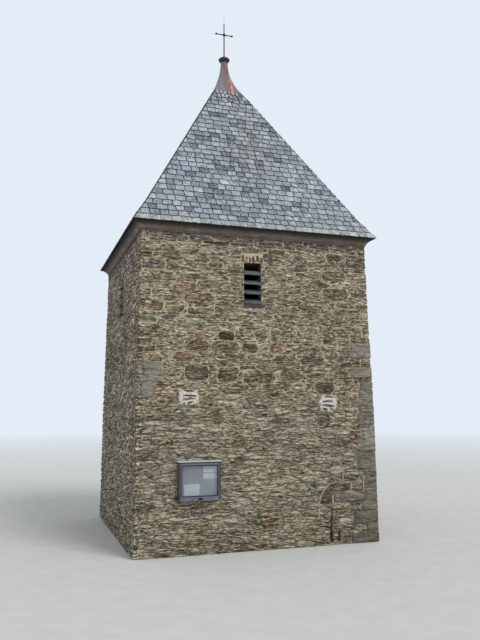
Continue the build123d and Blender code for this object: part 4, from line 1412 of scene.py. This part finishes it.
def cornice_look():
    """Dressed stone cornice, brown-grey, streaked by rain and jointed along its run, with painted shade at its
    bead, in its groove and under the slates.
    """
    look = Look("cornice_stone", 0.85, 0.2)
    spot = look.place()
    axes = look.axes(spot)
    cloud = look.noise(look.place((1, 1, 2)), 5.0, 5.0, 0.65)
    fine = look.noise(spot, 80.0, 3.0, 0.7)
    drips = look.noise(look.place((6, 6, 0.4)), 3.0, 4.0, 0.6)
    colour = look.ramp(cloud, (0.3, paint(104, 94, 88)), (0.5, paint(125, 114, 105)), (0.7, paint(145, 134, 121)))
    colour = look.mix(look.range(drips, 0.52, 0.70, 0.0, 0.45), colour, paint(78, 70, 60))
    lines = [look.range(look.math("PINGPONG", look.math("ADD", axes[axis], 0.31), 0.62), 0.0, 0.006, 1.0, 0.0)
             for axis in (X, Y)]
    joints = look.math("MAXIMUM", *lines)
    colour = look.mix(look.math("MULTIPLY", joints, 0.6), colour, paint(58, 52, 44))
    # Painted shade darkens the foot of the bead, the groove above it and the top of the cove under the slates
    foot = look.range(axes[Z], HEAD_Z + 0.004, HEAD_Z + 0.010, 0.75, 0.0)
    away = look.math("ABSOLUTE", look.math("SUBTRACT", axes[Z], HEAD_Z + 0.034))
    groove = look.math("SUBTRACT", 1.0, look.math("MULTIPLY", away, 75.0), clamp=True)
    head = look.range(axes[Z], EAVE_Z - 0.095, EAVE_Z - 0.035, 0.0, 0.85)
    darkening = look.math("MAXIMUM", look.math("MAXIMUM", foot, look.math("MULTIPLY", groove, 0.7)), head)
    colour = look.mix(darkening, colour, paint(44, 41, 38))
    colour = look.times(colour, look.ramp(fine, (0.3, (0.88,) * 3), (0.7, (1.1,) * 3)))
    return look.finish(colour, look.math("SUBTRACT", look.plus(cloud, fine, 0.3), joints), 0.4, 0.004)


# Bell openings

BLADES, BLADE_PITCH, BLADE_SLOPE = 4, 0.197, math.radians(30)
BLADE_RUN = (0.0, 0.003, 0.05, 0.12, 0.228)  # lines along a blade, from its front edge
BLADE_COLUMNS, BLADE_HALF = 12, 0.0095  # parts across it, and half its thickness


def lay_blade(heap, side, number, rng):
    """One blade with a broken front edge, thinner at the very edge."""
    z = SILL_Z + BLADE_PITCH * number + 0.010 * math.cos(BLADE_SLOPE)
    reach = outer_half(z) + 0.05
    half = OPENING_HALF - 0.001
    front = [rng.uniform(-0.004, 0.010) for _ in range(BLADE_COLUMNS + 1)]
    front[rng.randrange(1, BLADE_COLUMNS)] += rng.uniform(0.006, 0.016)
    points = []
    for level in (1, -1):
        for j, along in enumerate(BLADE_RUN):
            for k in range(BLADE_COLUMNS + 1):
                u = OPENING_SHIFT[side] - half + 2 * half * k / BLADE_COLUMNS
                run = along + front[k] * (1, 1, 0.3, 0, 0)[j]
                rough = 0.0022 * noise.noise(Vector((u * 14, along * 14, number * 7 + level * 3 + side * 11)))
                lift = level * (BLADE_HALF if j else 0.0075) + rough
                out = reach - run * math.cos(BLADE_SLOPE) + lift * math.sin(BLADE_SLOPE)
                height = z + run * math.sin(BLADE_SLOPE) + lift * math.cos(BLADE_SLOPE)
                points.append(turn(side, u, -out, height))
    width, rows = BLADE_COLUMNS + 1, len(BLADE_RUN) - 1
    plane = width * len(BLADE_RUN)
    faces = grid_faces(BLADE_COLUMNS, rows) + grid_faces(BLADE_COLUMNS, rows, plane, True)
    for k in range(BLADE_COLUMNS):
        a = rows * width + k
        faces.append((k, plane + k, plane + k + 1, k + 1))
        faces.append((a, a + 1, plane + a + 1, plane + a))
    for j in range(rows):
        a, b = j * width, j * width + BLADE_COLUMNS
        faces.append((a, a + width, plane + a + width, plane + a))
        faces.append((b, plane + b, plane + b + width, b + width))
    heap.add(points, faces)


def build_louvres():
    """Thick slate blades set in the jambs, over slate sills."""
    slate = slate_look("louvre_slate", roof=False)
    sill = metal_look("sill_slate", (64, 58, 62), (96, 88, 92), 0.85, 0.0, 14.0)
    for side, name in enumerate(SIDES):
        rng = random.Random(130 + side)
        heap = Heap()
        for number in range(BLADES):
            lay_blade(heap, side, number, rng)
        heap.build(name + "_louvre_slabs", "louvre_slate", slate, replaces=(name + "_louvres",), sharp=45)
        dress(name + "_sill", sill)


# Notice case

BOARD_FACE = side_of("notice_pinboard", LOW, Y)
CASE_FACE = side_of("notice_door_frame", LOW, Y)
GLASS_EDGES = (-1.641, -0.929, 1.077, 1.656)  # left, right, lower and upper edge of the glass that shows
GASKET = 0.015
SCREW_XS, SCREW_ZS = (-1.647, -0.923), (1.012, 1.045, 1.673)
# Blank sheets: left, low, width, height, skew
SHEETS = ((-1.572, 1.092, 0.297, 0.210, 0.012), (-1.203, 1.508, 0.297, 0.112, -0.010),
          (-1.203, 1.392, 0.290, 0.098, 0.008))
SHEET_COLUMNS, SHEET_ROWS, SHEET_THICKNESS = 14, 8, 0.0004
PIN_INSET = 0.012
PIN = ((0.0, 0.0012), (0.0045, 0.0012), (0.0048, 0.0045), (0.0065, 0.0048), (0.008, 0.0035), (0.0085, 0.001))
SCREW = ((0.0, 0.0042), (0.001, 0.0042), (0.0018, 0.0034), (0.002, 0.0008))
FORWARDS, BACKWARDS = (0, -1, 0), (0, 1, 0)


def alloy_look(name, dark, light, grain):
    """Anodised aluminium, drawn along one way, dull and slightly chalky."""
    look = Look(name, 0.5, 0.4, 0.25)
    brushed = look.noise(look.place(grain), 6.0, 5.0, 0.7)
    cloud = look.noise(look.place(), 8.0, 4.0, 0.6)
    stops = ((0.3, paint(*dark)), (0.7, paint(*light)))
    colour = look.mix(0.5, look.ramp(brushed, *stops), look.ramp(cloud, *stops))
    # Streaks of dirt darken the aluminium
    darkening = look.range(look.noise(look.place((1, 1, 0.3)), 18.0, 5.0), 0.58, 0.75, 0.0, 0.4)
    look.set("Roughness", look.range(brushed, 0.3, 0.7, 0.42, 0.6))
    return look.finish(look.mix(darkening, colour, paint(96, 94, 88)), brushed, 0.15, 0.0008)


def plate(heap, low, high, bevel):
    """A small block with softened edges."""
    (x0, y0, z0), (x1, y1, z1) = low, high
    rings = []
    for y, inset in ((y1, 0.0), (y0 + bevel, 0.0), (y0, bevel)):
        rings.append([(x, y, z) for x, z in box_outline(x0 + inset, x1 - inset, z0 + inset, z1 - inset)])
    heap.rings(rings)


def lay_sheet(heap, left, low, width, height, skew, rng):
    """A blank sheet of paper, a little curled at its ends."""
    cosine, sine = math.cos(skew), math.sin(skew)
    points = []
    for level in (0.0, -SHEET_THICKNESS):
        for j in range(SHEET_ROWS + 1):
            for i in range(SHEET_COLUMNS + 1):
                a, b = i / SHEET_COLUMNS - 0.5, j / SHEET_ROWS - 0.5
                x = left + width / 2 + (a * cosine - b * sine * height / width) * width
                z = low + height / 2 + (b * cosine + a * sine * width / height) * height
                curl = 0.0012 + 0.006 * max(0.0, abs(a) * 2 - 0.75) ** 2 * (1.5 - b) * 6
                curl += 0.0008 * noise.noise(Vector((x * 12, z * 12, left)))
                points.append((x, BOARD_FACE - curl + level, z))
    faces = grid_faces(SHEET_COLUMNS, SHEET_ROWS, flip=True)
    faces += grid_faces(SHEET_COLUMNS, SHEET_ROWS, len(points) // 2)
    heap.add(points, faces, vary(paint(204, 218, 224), rng, 0.04, 0.01), rng.random())


def build_notices():
    """Blank sheets pinned on the board by their corners."""
    rng = random.Random(8)
    paper, pins = Heap(), Heap()
    for left, low, width, height, skew in SHEETS:
        lay_sheet(paper, left, low, width, height, skew, rng)
        for x in (left + PIN_INSET, left + width - PIN_INSET):
            for z in (low + PIN_INSET, low + height - PIN_INSET):
                lathe(pins, PIN, (x, BOARD_FACE, z), FORWARDS, 12)
    look = Look("notice_paper", 0.8, 0.2)
    fade = look.noise(look.place(), 9.0, 3.0)
    fibre = look.noise(look.place(), 220.0, 3.0, 0.7)
    colour = look.times(look.tint()[0], look.ramp(fade, (0.35, (0.9, 0.9, 0.9)), (0.65, (1.03, 1.03, 1.02))))
    colour = look.mix(look.range(fibre, 0.3, 0.7, 0.0, 0.12), colour, paint(160, 170, 170))
    paper.build("blank_notices", "pinboard", look.finish(colour, fibre, 0.1, 0.0005), sharp=60)
    heads = metal_look("pin_heads", (150, 150, 152), (190, 190, 190), 0.35, 0.7, 200.0)
    pins.build("notice_pins", "pin_steel", heads)


def board_look():
    """Woven grey cloth, faded to a greener grey at its lower right."""
    look = Look("pinboard", 0.9, 0.15)
    weave = look.noise(look.place(), 260.0, 3.0, 0.7)
    fade = look.noise(look.place(), 2.4, 3.0)
    axes = look.axes(look.place())
    colour = look.ramp(fade, (0.35, paint(128, 134, 144)), (0.65, paint(148, 152, 164)))
    low_right = look.math("MINIMUM", look.range(axes[X], -1.27, -1.21), look.range(axes[Z], 1.37, 1.41, 1.0, 0.0))
    colour = look.mix(look.math("MULTIPLY", low_right, 0.8), colour, paint(150, 158, 158))
    colour = look.mix(look.range(weave, 0.35, 0.65, 0.0, 0.3), colour, paint(112, 118, 128))
    return look.finish(colour, weave, 0.3, 0.0008)


def glass_look():
    """Clear glass with a little haze, and a pale veil over it that is partly painted reflection of the sky."""
    look = Look("case_glass", 0.06, 0.5)
    haze_and_reflection = look.noise(look.place((1, 1, 0.6)), 3.0)
    look.set("Base Color", look.ramp(haze_and_reflection, (0.3, paint(170, 178, 190)), (0.7, paint(196, 204, 214))))
    look.set("Alpha", look.range(haze_and_reflection, 0.3, 0.7, 0.12, 0.22))
    return look.material


def build_case():
    """Looks of the notice case, with rubber strips round its glass and screws in the corners of its frame."""
    rail = alloy_look("case_rail", (100, 100, 110), (126, 126, 138), (0.5, 6, 12))
    cheek = alloy_look("case_cheek", (66, 62, 64), (90, 85, 88), (6, 6, 0.6))
    looks = {
        # Painted light: the hood, which faces the sky, is given a far paler aluminium than the rails
        "hood": alloy_look("case_hood", (188, 190, 196), (216, 218, 224), (0.5, 6, 12)),
        "top": rail, "bottom": rail, "back": rail, "door_frame": rail, "cheek_left": cheek, "cheek_right": cheek,
        "hinge_pins": metal_look("hinge_steel", (110, 112, 114), (150, 152, 154), 0.4, 0.7, 60.0),
        "lock": metal_look("lock_black", (20, 20, 22), (38, 38, 42), 0.45, 0.1, 80.0),
        "pinboard": board_look(),
        "glass": glass_look(),
        "battens": plain_look("batten_wood", (0.3, paint(74, 62, 50)), (0.7, paint(112, 98, 82)), 4.0,
                              5.0, 0.6, 0.5, (1.5, 12, 12), 0.85, 0.2, 0.4, 0.002),
    }
    for name, look in looks.items():
        dress("notice_" + name, look)
    gasket, screws = Heap(), Heap()
    left, right, low, high = GLASS_EDGES
    # The black strips are drawn wider than the rubber, taking in the shade at the glass's edges: partly painted
    # shade
    strips = ((left, low, right, low + GASKET), (left, high - GASKET, right, high),
              (left, low + GASKET, left + GASKET, high - GASKET),
              (right - GASKET, low + GASKET, right, high - GASKET))
    for x0, z0, x1, z1 in strips:
        plate(gasket, (x0, CASE_FACE + 0.004, z0), (x1, CASE_FACE + 0.021, z1), 0.002)
    rubber = plain_look("rubber_gasket", (0.3, paint(18, 18, 30)), (0.7, paint(36, 36, 52)), 40.0, 4.0, 0.55,
                        roughness=0.6, specular=0.3, strength=0.2, distance=0.001)
    gasket.build("glass_gasket", "lock_black", rubber, body="notice_door")
    for x in SCREW_XS:
        for z in SCREW_ZS:
            lathe(screws, SCREW, (x, CASE_FACE, z), FORWARDS, 14)
    steel = metal_look("screw_steel", (120, 122, 124), (160, 162, 164), 0.35, 0.7, 120.0)
    screws.build("frame_screws", "pin_steel", steel, body="notice_door")


# Back door, floors and belfry

BOARD_EDGES = (-0.400, -0.258, -0.124, 0.012, 0.139, 0.272, 0.400)
BOARD_FOOT, BOARD_COLUMNS, BOARD_ROWS = 0.104, 6, 24
STRAP_ZS, NAIL_XS, STRAP_FACE = (0.42, 1.23), (0.37, 0.28, 0.17, 0.05, -0.07, -0.18), DOOR_FACE + 0.006
NAIL = ((0.0, 0.010), (0.002, 0.010), (0.006, 0.007), (0.008, 0.002))
RING_X, RING_Z, RING_RADIUS, RING_STEPS, RING_SIDES = -0.26, 0.90, 0.060, 32, 10
RING_PLATE = ((0.0, 0.030), (0.002, 0.030), (0.005, 0.026), (0.009, 0.012), (0.012, 0.002))


def wood_look(name, dark, light, grain):
    """Wood with rings and open pores along its grain."""
    dark, light = paints(dark, light)
    look = Look(name, 0.75, 0.25)
    rings = look.noise(look.place(grain), 3.0, 6.0, 0.6, 0.7)
    pores = look.noise(look.place(tuple(g * 3 for g in grain)), 18.0, 3.0, 0.6)
    colour = look.ramp(rings, (0.3, dark), (0.55, light), (0.75, dark))
    colour = look.mix(look.range(pores, 0.55, 0.75, 0.0, 0.5), colour, scaled(dark, 0.5))
    return look.finish(colour, look.math("ADD", rings, pores), 0.45, 0.003)


def lay_board(heap, left, right, rng):
    """An oak board with worn edges, cut to the door's pointed arch."""
    points = []
    for i in range(BOARD_COLUMNS + 1):
        x = left + 0.0025 + (right - left - 0.005) * i / BOARD_COLUMNS
        rise = math.sqrt(max(0.0, DOOR_RADIUS ** 2 - (abs(x) + DOOR_CENTRE) ** 2))
        top = DOOR_SPRING_Z + rise - 0.004
        for j in range(BOARD_ROWS + 1):
            z = BOARD_FOOT + (top - BOARD_FOOT) * j / BOARD_ROWS
            rim = 0.0 if i in (0, BOARD_COLUMNS) else 1.0
            out = 0.001 + 0.005 * rim + 0.0012 * noise.noise(Vector((x * 30, z * 2, left * 9)))
            points.append((x, DOOR_FACE + out, z))
    heap.add(points, grid_faces(BOARD_ROWS, BOARD_COLUMNS), vary(PLAIN, rng), rng.random())


def lay_ring(heap):
    """A ring of twisted bar."""
    points = []
    for i in range(RING_STEPS):
        angle = math.tau * i / RING_STEPS
        for k in range(RING_SIDES):
            spin = math.tau * k / RING_SIDES + angle * 3
            thick = 0.0062 * (1 + 0.12 * math.cos(2 * (spin + angle * 8)))
            reach = RING_RADIUS + thick * math.cos(spin)
            points.append((RING_X + reach * math.cos(angle), DOOR_FACE + 0.0065 + thick * math.sin(spin),
                           RING_Z + reach * math.sin(angle)))
    faces = []
    for i in range(RING_STEPS):
        a, b = i * RING_SIDES, (i + 1) % RING_STEPS * RING_SIDES
        for k in range(RING_SIDES):
            following = (k + 1) % RING_SIDES
            faces.append((a + k, a + following, b + following, b + k))
    heap.add(points, faces)


def build_entrance():
    """Oak boards of uneven width, nail heads on the straps and a twisted ring."""
    oak = wood_look("oak_boards", (70, 60, 50), (104, 92, 76), (9, 9, 0.7))
    iron = metal_look("door_iron", (34, 32, 32), (58, 54, 50), 0.65, 0.4, 25.0)
    rng = random.Random(17)
    boards, nails, ring = Heap(), Heap(), Heap()
    for left, right in zip(BOARD_EDGES, BOARD_EDGES[1:]):
        lay_board(boards, left, right, rng)
    boards.build("door_boards", "door_oak", oak, sharp=25)
    for z in STRAP_ZS:
        for x in NAIL_XS:
            lathe(nails, NAIL, (x, STRAP_FACE, z), BACKWARDS, 10, rng)
    nails.build("strap_nails", "wrought_iron", iron)
    lay_ring(ring)
    lathe(ring, RING_PLATE, (RING_X, DOOR_FACE + 0.0005, RING_Z + 0.062), BACKWARDS, 20, rng)
    ring.build("ring_handle", "wrought_iron", iron, replaces=("door_ring",), sharp=50)
    dress("entrance_door", oak)
    dress("door_straps", iron)
    dress("door_surround", granite_look("surround_granite", paint(132, 128, 120)))
    dress("entrance_step", granite_look("step_granite", paint(116, 112, 104)))


def flag_look():
    """Flagstones with dark joints."""
    look = Look("flagstones", 0.85, 0.2)
    cell = look.cells(look.place((1.3, 2.0, 1)), 1.0, "DISTANCE_TO_EDGE")
    cloud = look.noise(look.place(), 4.0, 5.0, 0.6)
    joint = look.range(cell, 0.0, 0.02, 0.8, 0.0)
    colour = look.ramp(cloud, (0.3, paint(98, 94, 88)), (0.7, paint(128, 124, 116)))
    colour = look.mix(joint, colour, paint(54, 50, 44))
    return look.finish(colour, look.math("SUBTRACT", cloud, joint), 0.4, 0.005)


def build_inside():
    dress("belfry_joists", wood_look("beam_wood", (84, 70, 54), (122, 104, 82), (0.8, 8, 8)))
    dress("belfry_floor", wood_look("floor_boards", (92, 78, 60), (132, 114, 90), (8, 0.8, 8)))
    dress("ground_floor", flag_look())


aim_camera()
light_scene()
lay_floor()
build_walls()
build_roof()
build_cap()
build_finial()
cornice = cornice_look()
for side_name in SIDES:
    dress("eaves_cove_" + side_name, cornice)
build_louvres()
build_case()
build_notices()
build_entrance()
build_inside()

bpy.context.scene.view_settings.view_transform = "Standard"
